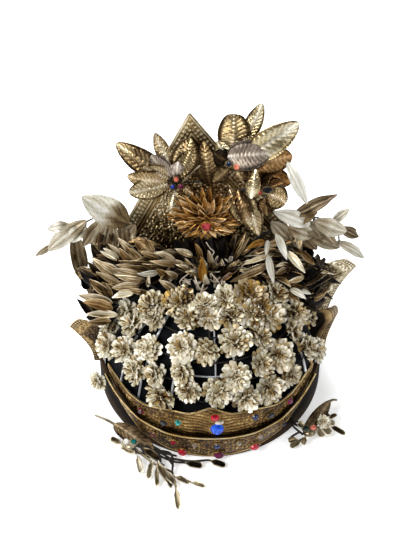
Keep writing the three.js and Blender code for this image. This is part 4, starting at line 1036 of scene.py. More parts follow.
def collet():
    """Metal ring that holds a stone of unit girdle"""
    clear_selection()
    bpy.ops.mesh.primitive_torus_add(major_segments=22, minor_segments=8, major_radius=COLLET_RADII[0],
                                     minor_radius=COLLET_RADII[1])
    return take(bpy.context.object)


def bead(fineness):
    clear_selection()
    bpy.ops.mesh.primitive_ico_sphere_add(subdivisions=fineness, radius=1)
    return take(bpy.context.object)


STONE = cut_stone()
COLLET = collet()
GRAIN = bead(1)
BEAD = bead(3)


# Settings: rise and seat of a collet, and size of the grains round it, their ring as a share of the stone,
# how many for each mm, and how deep they sit
COLLET_RISE = 2.2
COLLET_SEAT = 0.25
GRAIN_RADIUS = 0.45
GRAIN_RING = 1.36
GRAINS_PER_MM = 2.6
GRAIN_SINK = 0.1


def set_stone(name, seat, out, along, up, sizes, collets):
    across, tall, depth = sizes
    rows = np.stack([along * across, up * tall, out * depth])
    slot = SLOT_OF[name]
    finish = DEEP_FINISHES.get(name, STONE_FINISHES[slot])
    put(f"cut_{name}", [moved(STONE, rows, seat)], finish, [name], smooth=15)
    ring = np.stack([along * across, up * tall, out * COLLET_RISE])
    collets.append(moved(COLLET, ring, seat + out * COLLET_SEAT))
    count = int(round(GRAINS_PER_MM * (across + tall)))
    for k in range(count):
        angle = TURN * k / count
        aside = along * (across * GRAIN_RING * math.cos(angle))
        place = seat + aside + up * (tall * GRAIN_RING * math.sin(angle))
        collets.append(moved(GRAIN, np.eye(3) * GRAIN_RADIUS, place - out * GRAIN_SINK))


def make_strip_stones():
    collets = []
    for kind, (strip, stones) in STRIP_STONES.items():
        for name, azimuth, height, *sizes in stones:
            set_stone(f"{kind}_{name}", *strip_stone_seat(strip, azimuth, height), sizes, collets)
    azimuth, height, across, tall, depth = STRIP_PEARL
    seat, out, along, up = strip_stone_seat(UPPER_STRIP, azimuth, height)
    pearl = moved(BEAD, np.stack([along * across, up * tall, out * depth]), seat)
    put("upper_strip_pearl", [pearl], STONE_FINISHES["stone_pale"])
    put("diadem_collets", collets, DIADEM_GILT)


# Crown plate

# Foot, rise, half angle of the gable, how far it runs down behind its foot, lean back and tilt aside in
# degrees, then wall, faces, depth of the pressed relief, and the rolled wire along its edges
PLATE_FOOT = np.array([-5.0, 25.0, 96.0])
PLATE_RISE = 117.0
PLATE_HALF_ANGLE = 33.5
PLATE_SKIRT = 14.0
PLATE_LEAN = 10.0
PLATE_TILT = 5.0
PLATE_SHEET = 0.7
PLATE_FACES = (240, 190)
PLATE_SINK = 1.0
PLATE_EMBOSS = 1.1
PLATE_EDGE_RADIUS = 0.8
PLATE_EDGE_SINK = 0.6
# How far over the cap's face the plate ends, as a share of the cap's size, and how high and in how many steps
# that place is looked for
PLATE_CLEAR = 1.012
PLATE_SEARCH_TOP = 40
PLATE_SEARCH_STEPS = 400
PLATE_BASE = PLATE_RISE * math.tan(math.radians(PLATE_HALF_ANGLE))
PLATE_RIGHT, PLATE_UP = (
    turn_about(RIGHT, -PLATE_LEAN, turn_about(-FRONT, -PLATE_TILT, side)) for side in (RIGHT, UP))
PLATE_FRONT = turn_about(RIGHT, -PLATE_LEAN, FRONT)


def plate_point(across, up, front):
    across, up, front = (np.asarray(share)[..., None] for share in np.broadcast_arrays(across, up, front))
    return PLATE_FOOT + across * PLATE_RIGHT + up * PLATE_UP + front * PLATE_FRONT


def on_plate(point, front=1.0):
    """The place on the plate's face straight behind a point"""
    point = np.asarray(point, float)
    return point + PLATE_FRONT * (front - np.dot(point - PLATE_FOOT, PLATE_FRONT))


def plate_bottom(across):
    """Lower edge of the plate, where it meets the cap or ends below its foot"""
    heights = np.linspace(-PLATE_SKIRT, PLATE_SEARCH_TOP, PLATE_SEARCH_STEPS)
    points = plate_point(across[:, None], heights, 0.0)
    flat = (points[..., 0] / CAP_HALF_WIDTH) ** 2 + (points[..., 1] / CAP_HALF_DEPTH) ** 2
    level = np.clip(points[..., 2] / CAP_HEIGHT, 0, 2)
    inside = flat ** (CAP_ROUNDNESS / 2) + level ** CAP_ROUNDNESS < PLATE_CLEAR
    last = np.where(inside.any(1), heights.size - 1 - np.argmax(inside[:, ::-1], 1), 0)
    return heights[last]


def plate_relief(across, up):
    """Borders of lines and beads along the gable, and grains and curls in the field"""
    slope = math.radians(PLATE_HALF_ANGLE)
    to_edge = (PLATE_RISE - up) * math.sin(slope) - np.abs(across) * math.cos(slope)
    along = (PLATE_RISE - up) * math.cos(slope) + np.abs(across) * math.sin(slope)
    lines = ridge(to_edge - 0.5, 0.6) + 0.55 * ridge(to_edge - 8.9, 0.5) + 0.4 * ridge(to_edge - 11.6, 0.5)
    beads = ridge(to_edge - 3.4, 1.25) * np.clip(np.cos(TURN * along / 3.6), 0, 1)
    small = ridge(to_edge - 6.3, 1.1) * np.clip(np.cos(TURN * along / 3.1 + 1.6), 0, 1)
    uneven = 0.5 + 0.5 * np.sin(0.9 * across + 1.7 * np.sin(0.6 * up)) ** 2
    curls = scrolls(across, up, 11.0, 3.6) * grains(across, up, 3.4)
    field = uneven * studs(across, up, 2.3, 0.95) + 0.4 * curls
    inside = np.clip((to_edge - 12.4) / 1.2, 0, 1)
    return np.clip(0.8 * lines + 0.9 * beads + 0.8 * small + field * inside, 0, 1)


def make_plate():
    def shape(u, v):
        across = PLATE_BASE * (2 * u - 1)
        top = PLATE_RISE * (1 - np.abs(2 * u - 1))
        columns, which = np.unique(np.round(across, 4), return_inverse=True)
        bottom = plate_bottom(columns)[which]
        up = bottom + v * (np.maximum(top, bottom + 1) - bottom)
        raised = plate_relief(across, up)
        return plate_point(across, up, PLATE_EMBOSS * raised - PLATE_SINK), raised
    sheet = pressed(*PLATE_FACES, shape, PLATE_SHEET)
    # Paler towards the top, and darker behind the chrysanthemum as painted shade
    aside, share = np.abs(2 * sheet.flat[:, 0] - 1), sheet.flat[:, 1]
    tone = 0.36 + 0.2 * share + 0.45 * share ** 3 - 0.5 * ridge(aside, 0.4) * ridge(share, 0.2)
    put("crown_plate_sheet", [sheet._replace(tone=tone)], PLATE_GILT, ["crown_plate"])
    corners = np.array([[-PLATE_BASE, 0], [0, PLATE_RISE], [PLATE_BASE, 0]])
    sides = [np.linspace(corners[k], corners[k + 1], 30) for k in (0, 1)]
    edges = [plate_point(side[:, 0], side[:, 1], -PLATE_EDGE_SINK) for side in sides]
    put("crown_plate_edge", [wires(edges, PLATE_EDGE_RADIUS)], PLATE_GILT)


# Leaf rosettes

# Lean of their leaves, and the hub that holds leaves and stones
ROSETTE_TILT = math.radians(25)
ROSETTE_UP = np.array([0.0, math.sin(ROSETTE_TILT), math.cos(ROSETTE_TILT)])
ROSETTE_FRONT = np.array([0.0, -math.cos(ROSETTE_TILT), math.sin(ROSETTE_TILT)])
HUB_DEPTH = 6.0
HUB_RADII = (4.4, 4.4, 2.8)
HUB_TONE = -0.1
COLLET_TONE = 0.15
# Where leaves and stalks start, from the hub's middle and behind it, how far a stalk runs into a leaf as a
# share of the leaf, and how far the foot of a hanging leaf lies behind its tip
LEAF_ROOT = 4
LEAF_ROOT_BACK = 1.5
STALK_BACK = 2
STALK_IN_ROSETTE_LEAF = 0.06
HANGING_BACK = 8
HANGING_FOOT_BACK = 2
ROSETTE_STEM_RADIUS = 0.7
# How leaves are bent, and hanging ones, in the words of the function that lays them
ROSETTE_BENDS = {"bow": (0.04, 0.12), "twist": (-0.45, 0.45), "fold": (-0.08, 0.25), "droop": (-0.1, 0.15)}
HANGING_BENDS = {"bow": 0.1, "twist": 0.3, "fold": 0.15}
# Widths in mm from which a leaf is square or broad
SQUARE_LEAF, BROAD_LEAF = 23, 12
# The bright pin at the left: its ends to the right, up and front of the hub, and its radius
PIN = ((3, 0, 1), (17, 14, 5))
PIN_RADIUS = 0.65
# Warmths that stand for another finish
TAUPE, SILVERED = -1, -2
# Each rosette: hub, foot of the stem to its right, then for each leaf its reach to the right, up and front,
# its width, the share that is bare stalk, its tone and its warmth
ROSETTES = {
    "rosette_left": ((-24.4, 20, 168), 0, (
        (-44, 28, -6, 19, 0.1, 0.34, 0.3), (-16, 36, -4, 11, 0.3, 0.4, 0.25),
        (11, 32, -2, 21, 0.1, 0.32, 0.25), (-36, 6, 2, 16, 0.1, 0.3, 0.4),
        (-35, -6, 5, 17, 0.1, 0.42, 0.15), (-19, 21, 4, 13, 0.1, 0.3, TAUPE),
        (-5, -19, 3, 11, 0.1, 0.5, 0.1), (13, -8, 4, 9, 0.1, 0.25, 0.4), (10, 24, 1, 15, 0.1, 0.4, 0.2),
        (1, 17, 3, 9, 0.2, 0.6, TAUPE), (-24, 13, 5, 15, 0.1, 0.4, 0.3),
        (-4, 14, 1, 12, 0.1, 0.35, TAUPE))),
    "rosette_right": ((16.2, 22, 183), -15, (
        (1, 36, -4, 24, 0.2, 0.32, 0.3), (21, 43, -6, 13, 0.32, 0.5, 0.1), (47, 30, -3, 22, 0.1, 0.6, 0.05),
        (42, 16, -4, 5, 0.5, 0.1, 0.6), (43, -15, -8, 18, 0.1, 0.4, 0.9), (-14, 9, 2, 14, 0.1, -0.3, 0.2),
        (18, 22, -3, 15, 0.15, 0.55, 0), (43, 5, -5, 22, 0.1, 0.38, 0.8), (-15, -12, 2, 12, 0.05, 0.12, 0.4),
        (6, 20, -3, 14, 0.1, 0.3, 0.4), (24, -12, -6, 16, 0.05, 0.1, 0.7), (8, -13, -3, 12, 0.1, 0.2, 0.4),
        (-12, 17, 0, 13, 0.1, 0.5, 0), (3, 18, -2, 17, 0.0, 0.4, 0.1))),
    "rosette_low": ((38, 8, 170), -18, (
        (17, -8, 2, 19, 0.05, 0.4, 0.35), (14, 6, -2, 13, 0.1, 0.25, 0.8), (3, -18, -3, 13, 0.1, 0.2, 0.6),
        (6, 10, -4, 13, 0.05, 0.0, 0.7), (-12, 6, -3, 11, 0.1, 0.25, 0.4), (10, -9, -2, 13, 0.0, 0.2, 0.6))),
}
# Leaves that start away from their hub: start and tip to its right and up, front, width, tone and warmth
HANGING_LEAVES = {
    "rosette_left": ((24, -2, 20, 30, -3, 18, 0.12, 0.4),),
    "rosette_right": ((39, 2, 54, -29, 1, 9, 0.7, SILVERED), (-4, 6, 27, 9, 1.5, 22, 0.36, TAUPE)),
    "rosette_low": ((-24, -1, -12, -27, -7, 15, 0.3, 0.35), (-12, -4, -3, -35, -7, 15, 0.45, 0.25),
                    (-18, -1, -8, -31, -6, 12, 0.2, 0.55), (-9, -5, -5.5, 17, 4, 10.5, 0.5, 0)),
}
# Stones on each rosette: name, offsets from its hub to the right and up, and half sizes across and up
ROSETTE_STONES = {
    "rosette_left": (("coral", -0.4, 3.4, 2.0, 2.0), ("blue", -3, -2.2, 1.9, 1.9),
                     ("purple", 2.8, -2, 1.9, 1.9)),
    "rosette_right": (("coral", 2.8, -1, 2.3, 2.3), ("navy", -3, 1, 2.0, 2.0)),
    "rosette_low": (("bead", 2.8, 1.2, 3.6, 2.3), ("coral", -2.8, -0.6, 1.9, 1.9)),
}


def from_hub(hub, right, up, front):
    return np.asarray(hub, float) + RIGHT * right + ROSETTE_UP * up + ROSETTE_FRONT * front


def make_rosettes():
    rng = np.random.default_rng(5)
    square = stamped_leaf(width=20, veins=9, blunt=0.34)
    broad = stamped_leaf()
    slim = stamped_leaf(length=36, width=11, veins=10, columns=10, rows=44, blunt=0.68)
    smooth = plain_leaf()
    collets, stems = [], []
    for name, (hub, foot_right, leaves) in ROSETTES.items():
        parts = {"leaves": [], "taupe": [], "silvered": []}

        def add_leaf(start, tip, width, tone, hue, bends):
            kind = {TAUPE: "taupe", SILVERED: "silvered"}.get(hue, "leaves")
            stamped = square if width > SQUARE_LEAF else broad if width > BROAD_LEAF else slim
            master = smooth if hue == SILVERED else stamped
            warmth = max(hue, 0)
            parts[kind].append(laid(master, start, tip, width, ROSETTE_FRONT, tone=tone, hue=warmth, **bends))

        hub_back = from_hub(hub, 0, 0, -STALK_BACK)
        for right, up, front, width, bare, tone, hue in leaves:
            inset = LEAF_ROOT / math.hypot(right, up)
            root = from_hub(hub, right * inset, up * inset, -LEAF_ROOT_BACK)
            tip = from_hub(hub, right, up, front)
            blade = root + (tip - root) * bare
            add_leaf(blade, tip, width, tone, hue, drawn(rng, ROSETTE_BENDS))
            stems.append(smooth_route([hub_back, root, blade + (tip - blade) * STALK_IN_ROSETTE_LEAF], 6))
        for start_right, start_up, tip_right, tip_up, front, width, tone, hue in HANGING_LEAVES[name]:
            start = from_hub(hub, start_right, start_up, front - HANGING_FOOT_BACK)
            tip = from_hub(hub, tip_right, tip_up, front)
            add_leaf(start, tip, width, tone, hue, HANGING_BENDS)
            halfway = (from_hub(hub, 0, 0, -HANGING_BACK) + start) / 2
            stems.append(smooth_route([hub_back, halfway, start + (tip - start) * STALK_IN_LEAF], 8))
        put(f"{name}_leaves", parts["leaves"], LEAF_GILT, [name])
        if parts["taupe"]:
            put(f"{name}_taupe_leaves", parts["taupe"], TAUPE_LEAF)
        if parts["silvered"]:
            put(f"{name}_silvered_leaf", parts["silvered"], PALE_LEAF)
        centre = from_hub(hub, 0, 0, 0)
        stems.append(smooth_route([on_plate(from_hub(hub, foot_right, 0, 0)), centre], 6))
        button = np.stack([RIGHT, ROSETTE_UP, ROSETTE_FRONT]) * np.array(HUB_RADII)[:, None]
        collets.append(moved(BEAD, button, centre, tone=HUB_TONE))
    for rosette, stones in ROSETTE_STONES.items():
        for name, right, up, across, tall in stones:
            seat = from_hub(ROSETTES[rosette][0], right, up, HUB_DEPTH / 2 + GAP)
            sizes = (across, tall, tall)
            set_stone(f"{rosette}_{name}", seat, ROSETTE_FRONT, RIGHT, ROSETTE_UP, sizes, collets)
    collets = [part._replace(tone=np.minimum(part.tone, COLLET_TONE)) for part in collets]
    put("rosette_collets", collets, LEAF_GILT)
    put("rosette_stems", [wires(stems, ROSETTE_STEM_RADIUS)], DARK_TWIG)
    pin = smooth_route([from_hub(ROSETTES["rosette_left"][0], *end) for end in PIN], 6)
    put("rosette_pin", [wires([pin], PIN_RADIUS)], PENDANT_GILT)


# Chrysanthemum

# Place, how far it faces down, tiers of petals (count, reach, tilt in degrees), length and width of the
# petal that is copied, how far out and forward petals start, and how they differ, then the hub, the stone
# and the stem
MUM_CENTRE = np.array([-3.0, 12.0, 143.0])
MUM_DOWN = math.radians(15)
MUM_FACING = np.array([0.0, -math.cos(MUM_DOWN), -math.sin(MUM_DOWN)])
MUM_UP = np.cross(RIGHT, MUM_FACING) * -1
MUM_TIERS = ((30, 26, -4), (28, 23.5, 7), (24, 20, 18), (18, 15, 31), (12, 10, 46))
MUM_PETAL = (24, 6.4)
MUM_PETAL_ROOT = 3.5
MUM_PETAL_FORWARD = 1
MUM_FORWARD_PER_DEGREE = 1 / 16
MUM_PETAL_WIDTHS = (5.2, 7.0)
MUM_PETAL_LENGTHS = (0.92, 1.04)
MUM_PETAL_SHIFT = 0.25
MUM_PETAL_TILT = 7
MUM_PETAL_FOLD = 0.2
MUM_PETAL_BENDS = {"bow": (-0.03, 0.06), "twist": (-0.4, 0.4), "droop": (-0.1, 0.06), "tone": (0.1, 0.8)}
MUM_HUB_DEPTH = 16.0
MUM_STONE = 3.7
MUM_STEM_RADIUS = 1.6
MUM_STEM_SINK = 0.3


def make_chrysanthemum():
    rng = np.random.default_rng(7)
    petals = willow_leaf(*MUM_PETAL)
    parts = []
    for count, reach, tilt in MUM_TIERS:
        for k in range(count):
            angle = TURN * (k + rng.uniform(-MUM_PETAL_SHIFT, MUM_PETAL_SHIFT)) / count
            # The upper petals lie flatter and are longer than the lower ones
            rise = math.sin(angle)
            flatter = tilt * (1 - 0.5 * max(0.0, rise))
            lean = math.radians(flatter + rng.uniform(-MUM_PETAL_TILT, MUM_PETAL_TILT))
            flat = RIGHT * math.cos(angle) + MUM_UP * rise
            out = flat * math.cos(lean) + MUM_FACING * math.sin(lean)
            face = MUM_FACING * math.cos(lean) - flat * math.sin(lean)
            length = reach * rng.uniform(*MUM_PETAL_LENGTHS) * (1 + 0.16 * rise)
            forward = MUM_PETAL_FORWARD + tilt * MUM_FORWARD_PER_DEGREE
            start = MUM_CENTRE + flat * MUM_PETAL_ROOT + MUM_FACING * forward
            parts.append(laid(petals, start, start + out * length, rng.uniform(*MUM_PETAL_WIDTHS), face,
                              fold=MUM_PETAL_FOLD, **drawn(rng, MUM_PETAL_BENDS)))
    put("chrysanthemum_petals", parts, AMBER_GILT, ["chrysanthemum"], smooth=50)
    collets = []
    seat = MUM_CENTRE + MUM_FACING * (MUM_HUB_DEPTH / 2 + GAP)
    set_stone("chrysanthemum_stone", seat, MUM_FACING, RIGHT, MUM_UP, [MUM_STONE] * 3, collets)
    stem = smooth_route([on_plate(MUM_CENTRE), MUM_CENTRE, seat - MUM_FACING * MUM_STEM_SINK], 6)
    put("chrysanthemum_stem", collets + [wires([stem], MUM_STEM_RADIUS)], AMBER_GILT)


# Sprays of narrow leaves

# Guides between which the stems are drawn, each with its middle and end; those of the left spray are mirrored
SIDE_GUIDES = np.array((
    ((32, 12, 115), (54, 10, 114)), ((38, 4, 114), (70, 4, 103)), ((40, -6, 111), (75, -6, 90)),
    ((36, -15, 107), (69, -20, 80))), float)
CENTRE_GUIDES = np.array((
    ((-10, -9, 108), (-18, -16, 109)), ((0, -8, 109), (0, -16, 110)), ((8, -9, 108), (16, -17, 109))), float)
# Each spray: azimuth and height of the foot, leaf length, sweep of the leaves, guides, number of stems, and
# how much paler its large leaves are, which is painted light
SPRAYS = {
    "leaf_spray_left": ((-100, 103.2), 26, (-0.4, 0.0, 0.15), SIDE_GUIDES * (-1, 1, 1), 9, 0.09),
    "leaf_spray_right": ((100, 103.2), 26, (0.4, 0.0, 0.15), SIDE_GUIDES, 9, 0.0),
    "leaf_spray_centre": ((0, 103), 14, (0.0, 0.3, 0.7), CENTRE_GUIDES, 4, 0.0),
}
# Layers of small leaves on a stem: count, lift off the cap and tone, each from and to; the lower layer hugs
# the cap and its darker tone is painted shade
SPRAY_LAYERS = ((6, (-0.15, 0.1), (-0.35, 0.0)), (7, (0.0, 0.25), (0.0, 0.6)))
# Where on the stem small leaves start and over what share of it they go on, how far they turn off it in
# degrees, and how they differ
SMALL_LEAF_START = 0.05
SMALL_LEAF_RUN = 0.93
SMALL_LEAF_SHIFT = 0.9
SMALL_LEAF_TURNS = (4, 58)
SMALL_LEAF_SCATTER = 0.22
SMALL_LEAF_ROLL = 0.75
SMALL_LEAF_BENDS = {"bow": (0.0, 0.12), "twist": (-0.9, 0.9), "fold": (-0.05, 0.4), "droop": (-0.16, 0.18)}
SMALL_LEAF_WIDTHS = (4.6, 7.2)
SMALL_LEAF_LENGTHS = (0.62, 1.15)
SMALL_LEAF_WARMTHS = (-0.5, 0.8)
# Stems: how far over the cap they start, scatter of their ends, radius and the share of it left at the tips
SPRAY_FOOT = 1.5
SPRAY_STEM_SPREAD = 3
SPRAY_STEM = (0.8, 0.6)
# The middle of the cap, from which the leaves stand away
CAP_CORE = np.array([0.0, 0.0, 30.0])
# The large leaves lie on a sheet that comes forward as it comes down the photograph, their feet a little
# behind it and their tips before it
SHEET_TOP_PX = 245.0
SHEET_TOP_DEPTH = 6.0
SHEET_FORWARD_PER_PX = 0.5
SEEN_FOOT_BACK = 1.5
SEEN_TIP_FORWARD = (0, 3)
SEEN_LEAF_SCATTER = 0.4
SEEN_LEAF_BENDS = {"bow": (0.0, 0.08), "twist": (-0.5, 0.5), "fold": (0.15, 0.6), "droop": (-0.1, 0.12)}
# Where the photograph shows the plate and the cap clear of leaves: columns, and rows above
CLEAR_COLUMNS_PX = (132, 262)
CLEAR_ROW_PX = 249.0
# Large leaves as the photograph shows them: foot and tip in its pixels, width in mm, tone, warmth and how far
# before the sheet the leaf lies, in mm. The wide dark ones, with tone near -0.3 and most of them behind the
# sheet, are dark fill: painted shade in the gaps between the others
SEEN_LEAVES_PX = {
    "leaf_spray_left": (
        (139, 255, 118, 238, 5.8, 0.45, 0.3, 2), (146, 253, 134, 240, 6.4, 0.5, 0.7, 3),
        (154, 253, 145, 237, 5.8, 0.5, 0.5, 4), (176, 262, 153, 253, 5.2, 0.6, 0.2, 4),
        (189, 264, 149, 261, 4.8, 0.6, 0.4, 5), (143, 262, 127, 247, 6.2, 0.3, 0.4, 3),
        (133, 262, 119, 248, 6.2, 0.4, 0.6, 2), (156, 265, 119, 261, 4.8, 0.2, 0.3, 4),
        (117, 261, 100, 251, 4.2, 0.85, 0.1, 3), (119, 259, 103, 248, 3.8, 0.8, 0.1, 2),
        (122, 257, 108, 244, 3.6, 0.6, 0.2, 1), (121, 263, 96, 255, 4.6, 0.1, 0.5, 2),
        (117, 277, 92, 258, 7.2, 0.5, 0.3, 6), (129, 275, 106, 268, 4.8, 0.8, 0.1, 6),
        (141, 275, 112, 269, 4.8, 0.6, 0.2, 7), (147, 281, 115, 275, 5.4, 0.65, 0.3, 8),
        (159, 272, 137, 274, 4.8, 0.5, 0.0, 9), (143, 283, 119, 282, 4.6, 0.2, 0.5, 8),
        (139, 287, 112, 288, 7.2, 0.45, 0.3, 9), (134, 293, 112, 298, 6.2, 0.9, 0.05, 11),
        (112, 294, 89, 279, 7.4, 0.45, 0.4, 8), (112, 297, 102, 282, 5.8, 0.4, 0.6, 9),
        (104, 282, 89, 275, 7.6, -0.1, 0.3, 5), (90, 288, 81, 278, 6.2, -0.15, 0.2, 4),
        (113, 303, 78, 295, 7.6, 0.6, 0.2, 9), (113, 309, 83, 302, 8.8, 0.4, 0.7, 10),
        (118, 315, 86, 314, 6.0, 0.6, 0.1, 11), (111, 321, 88, 322, 6.0, 0.3, 0.3, 10),
        (95, 318, 77, 299, 6.0, -0.3, 0.1, 5), (104, 230, 98, 249, 4.2, 0.05, 0.5, 0),
        (106, 231, 104, 245, 3.8, 0.15, 0.5, 0), (110, 231, 112, 244, 3.8, 0.1, 0.4, 0),
        (103, 236, 95, 244, 4.2, 0.1, 0.6, 0), (177, 291, 159, 280, 5.8, 0.5, 0.3, 12),
        (147, 287, 149, 275, 3.2, 0.7, 0.1, 12), (169, 278, 156, 269, 5.8, 0.3, 0.7, 9),
        (177, 279, 165, 271, 4.4, 0.4, 0.2, 10), (118, 266, 92, 262, 9, -0.3, 0.2, -3),
        (126, 292, 101, 286, 10, -0.3, 0.2, -1), (112, 250, 92, 246, 8, -0.25, 0.3, -3),
        (120, 305, 92, 299, 10, -0.35, 0.1, 2), (116, 318, 92, 311, 10, -0.35, 0.1, 4),
        (131, 284, 105, 279, 9, -0.3, 0.2, -1), (128, 270, 100, 262, 9, -0.3, 0.2, -3),
        (140, 268, 116, 258, 9, -0.3, 0.2, -2), (112, 312, 86, 305, 10, -0.35, 0.1, 3),
        (105, 264, 91, 243, 8, -0.15, 0.2, -4), (107, 274, 92, 257, 8, -0.2, 0.2, -3),
        (101, 277, 88, 262, 6, -0.1, 0.2, -2), (115, 256, 99, 240, 7, -0.1, 0.3, -4),
        (99, 282, 79, 268, 9, -0.2, 0.2, 9), (138, 268, 116, 265, 4.6, 0.55, 0.3, 6),
        (150, 270, 126, 266, 4.4, 0.35, 0.5, 6), (120, 271, 98, 262, 4.4, 0.6, 0.2, 7),
        (122, 284, 96, 272, 5.0, 0.55, 0.3, 8), (118, 290, 93, 284, 5.2, 0.2, 0.5, 9),
        (150, 292, 128, 289, 4.6, 0.3, 0.4, 10), (164, 268, 142, 264, 4.4, 0.3, 0.5, 6),
        (160, 259, 138, 251, 4.8, 0.35, 0.4, 3), (106, 319, 86, 317, 8, -0.3, 0.2, 8)),
    "leaf_spray_right": (
        (265, 241, 247, 249, 5.4, 0.5, 1.0, 4), (268, 240, 266, 256, 3.8, 0.85, 0.0, 8),
        (268, 255, 274, 283, 5.6, 0.75, 0.0, 9), (276, 234, 287, 260, 6.0, 0.85, 0.0, 8),
        (286, 251, 305, 273, 6.0, 0.8, 0.05, 9), (270, 254, 243, 265, 4.0, 0.85, 0.1, 6),
        (264, 264, 243, 271, 4.2, 0.5, 0.3, 7), (266, 268, 230, 282, 5.4, 0.5, 0.4, 9),
        (250, 271, 235, 267, 4.0, 0.8, 0.05, 8), (218, 276, 231, 270, 5.2, 0.3, 0.8, 7),
        (289, 264, 275, 267, 3.4, 0.7, 0.1, 7), (287, 269, 275, 274, 4.2, 0.55, 0.3, 8),
        (297, 268, 287, 278, 7.2, -0.1, 0.3, 6), (304, 276, 287, 282, 4.4, 0.65, 0.2, 8),
        (277, 279, 291, 287, 4.8, 0.5, 0.3, 9), (290, 289, 306, 299, 5.2, 0.8, 0.0, 11),
        (302, 290, 311, 294, 3.4, 0.75, 0.0, 10), (307, 291, 331, 278, 3.0, 0.0, 0.1, 6),
        (305, 286, 329, 272, 3.0, 0.3, 0.1, 6), (308, 282, 325, 269, 3.0, -0.1, 0.1, 6),
        (317, 254, 319, 266, 3.2, -0.4, 0.0, 6), (325, 258, 320, 268, 3.2, -0.4, 0.0, 6),
        (300, 251, 315, 265, 5.2, 0.35, 0.6, 5), (292, 248, 305, 255, 3.8, 0.2, 0.5, 5),
        (233, 257, 246, 231, 4.2, 0.3, 0.3, 2), (235, 259, 250, 237, 4.2, 0.35, 0.2, 3),
        (233, 251, 238, 231, 4.2, 0.25, 0.3, 1), (241, 255, 253, 245, 4.2, 0.3, 0.4, 3),
        (297, 235, 299, 250, 5.2, 0.6, 0.2, 4), (312, 297, 330, 285, 3.4, 0.1, 0.3, 7),
        (314, 301, 327, 291, 3.6, 0.4, 0.4, 7), (284, 290, 300, 301, 4.4, 0.1, 0.5, 8),
        (262, 284, 247, 275, 4.2, 0.1, 0.3, 6), (298, 300, 318, 280, 9, -0.35, 0.1, 0),
        (298, 285, 324, 262, 9, -0.3, 0.2, -3), (288, 270, 314, 257, 10, -0.3, 0.2, -4),
        (304, 306, 324, 292, 9, -0.35, 0.1, 1), (306, 296, 322, 278, 9, -0.35, 0.1, -1),
        (311, 308, 325, 298, 8, -0.35, 0.1, 2), (285, 280, 305, 285, 10, -0.35, 0.1, -1),
        (252, 262, 232, 270, 4.2, 0.2, 0.5, 6), (274, 262, 256, 270, 4.4, 0.35, 0.4, 7),
        (282, 258, 296, 270, 4.2, 0.15, 0.4, 6), (289, 272, 272, 258, 10, -0.35, 0.1, -4),
        (313, 257, 297, 243, 8, -0.3, 0.1, -6), (323, 268, 308, 255, 8, -0.35, 0.1, -5),
        (306, 274, 288, 270, 8, -0.3, 0.1, -3)),
    "leaf_spray_centre": (
        (193, 257, 175, 249, 5.2, 0.65, 0.2, 3), (197, 279, 185, 258, 5.4, 0.5, 0.4, 6),
        (202, 258, 195, 243, 4.4, 0.45, 0.8, 3), (201, 279, 203, 257, 5.8, 0.75, 1.0, 6),
        (198, 270, 198, 255, 4.2, 0.1, 0.6, 4), (194, 279, 186, 269, 4.2, 0.3, 0.3, 6),
        (212, 264, 208, 250, 4.2, 0.6, 0.1, 4), (214, 274, 223, 262, 4.2, 0.4, 0.2, 5),
        (206, 276, 213, 266, 3.8, 0.2, 0.3, 5), (202, 282, 203, 259, 6.4, 0.7, 1.0, 9),
        (207, 284, 205, 274, 4.8, 0.95, 0.05, 12), (219, 279, 235, 268, 6.2, 0.15, 0.9, 9),
        (184, 256, 176, 239, 10, -0.35, 0.1, -2), (194, 258, 187, 237, 11, -0.35, 0.1, -2),
        (203, 258, 200, 236, 11, -0.38, 0.1, -3), (212, 258, 213, 237, 11, -0.38, 0.1, -2),
        (221, 258, 225, 238, 11, -0.35, 0.1, -2), (229, 259, 236, 242, 9, -0.3, 0.1, -1)),
}
# Burrs among the leaves: azimuth and height on the cap, how far over it their heart lies, spikes, their
# spread, lengths and bend, reach and heights of the curl beside them, and radii with the share left at tips
BURRS = (
    (88, 103.3), (26, 103.9), (-46, 101.6), (-24, 101.8), (10, 102.5), (42, 103.5), (-12, 101), (22, 101.8))
BURR_HEART = 5.0
BURR_SPIKES = 9
BURR_SPREAD = 1.1
BURR_LENGTHS = (4, 6.5)
SPIKE_BEND = 3
CURL_REACH = 4
CURL_HEIGHTS = (4, 6)
BURR_SPIKE = (1.0, 0.3)
BURR_CURL = (0.55, 0.5)
# A pale wire that stands up from the cap: its foot there, then the pixels that it passes, and how far before
# the sheet of leaves
PALE_WIRE_FOOT = (26, 103.9)
PALE_WIRE_PX = ((212, 257), (214, 252), (210, 248), (206, 242))
PALE_WIRE_FRONT = 5.0
# A tuft of dark wires: azimuth and height on the cap, how many, their spread there, how far over it they
# start and bend, and their lengths
DARK_WIRES = (-58, 96)
DARK_WIRE_COUNT = 16
DARK_WIRE_ROOT = 2.0
DARK_WIRE_KNEE = 4
DARK_WIRE_AZIMUTHS = (-14, 14)
DARK_WIRE_HEIGHTS = (-5, 4)
DARK_WIRE_BEND = 6
DARK_WIRE_LENGTHS = (5, 9)
DARK_WIRE_RADIUS = 0.55


def bezier(a, b, c, share):
    return a * (1 - share) ** 2 + 2 * b * share * (1 - share) + c * share ** 2


def on_sheet(x, y, front):
    """The place that the photograph shows at a pixel, so far before the sheet of large leaves"""
    return seen((x, y), SHEET_TOP_DEPTH - SHEET_FORWARD_PER_PX * (y - SHEET_TOP_PX) - front)


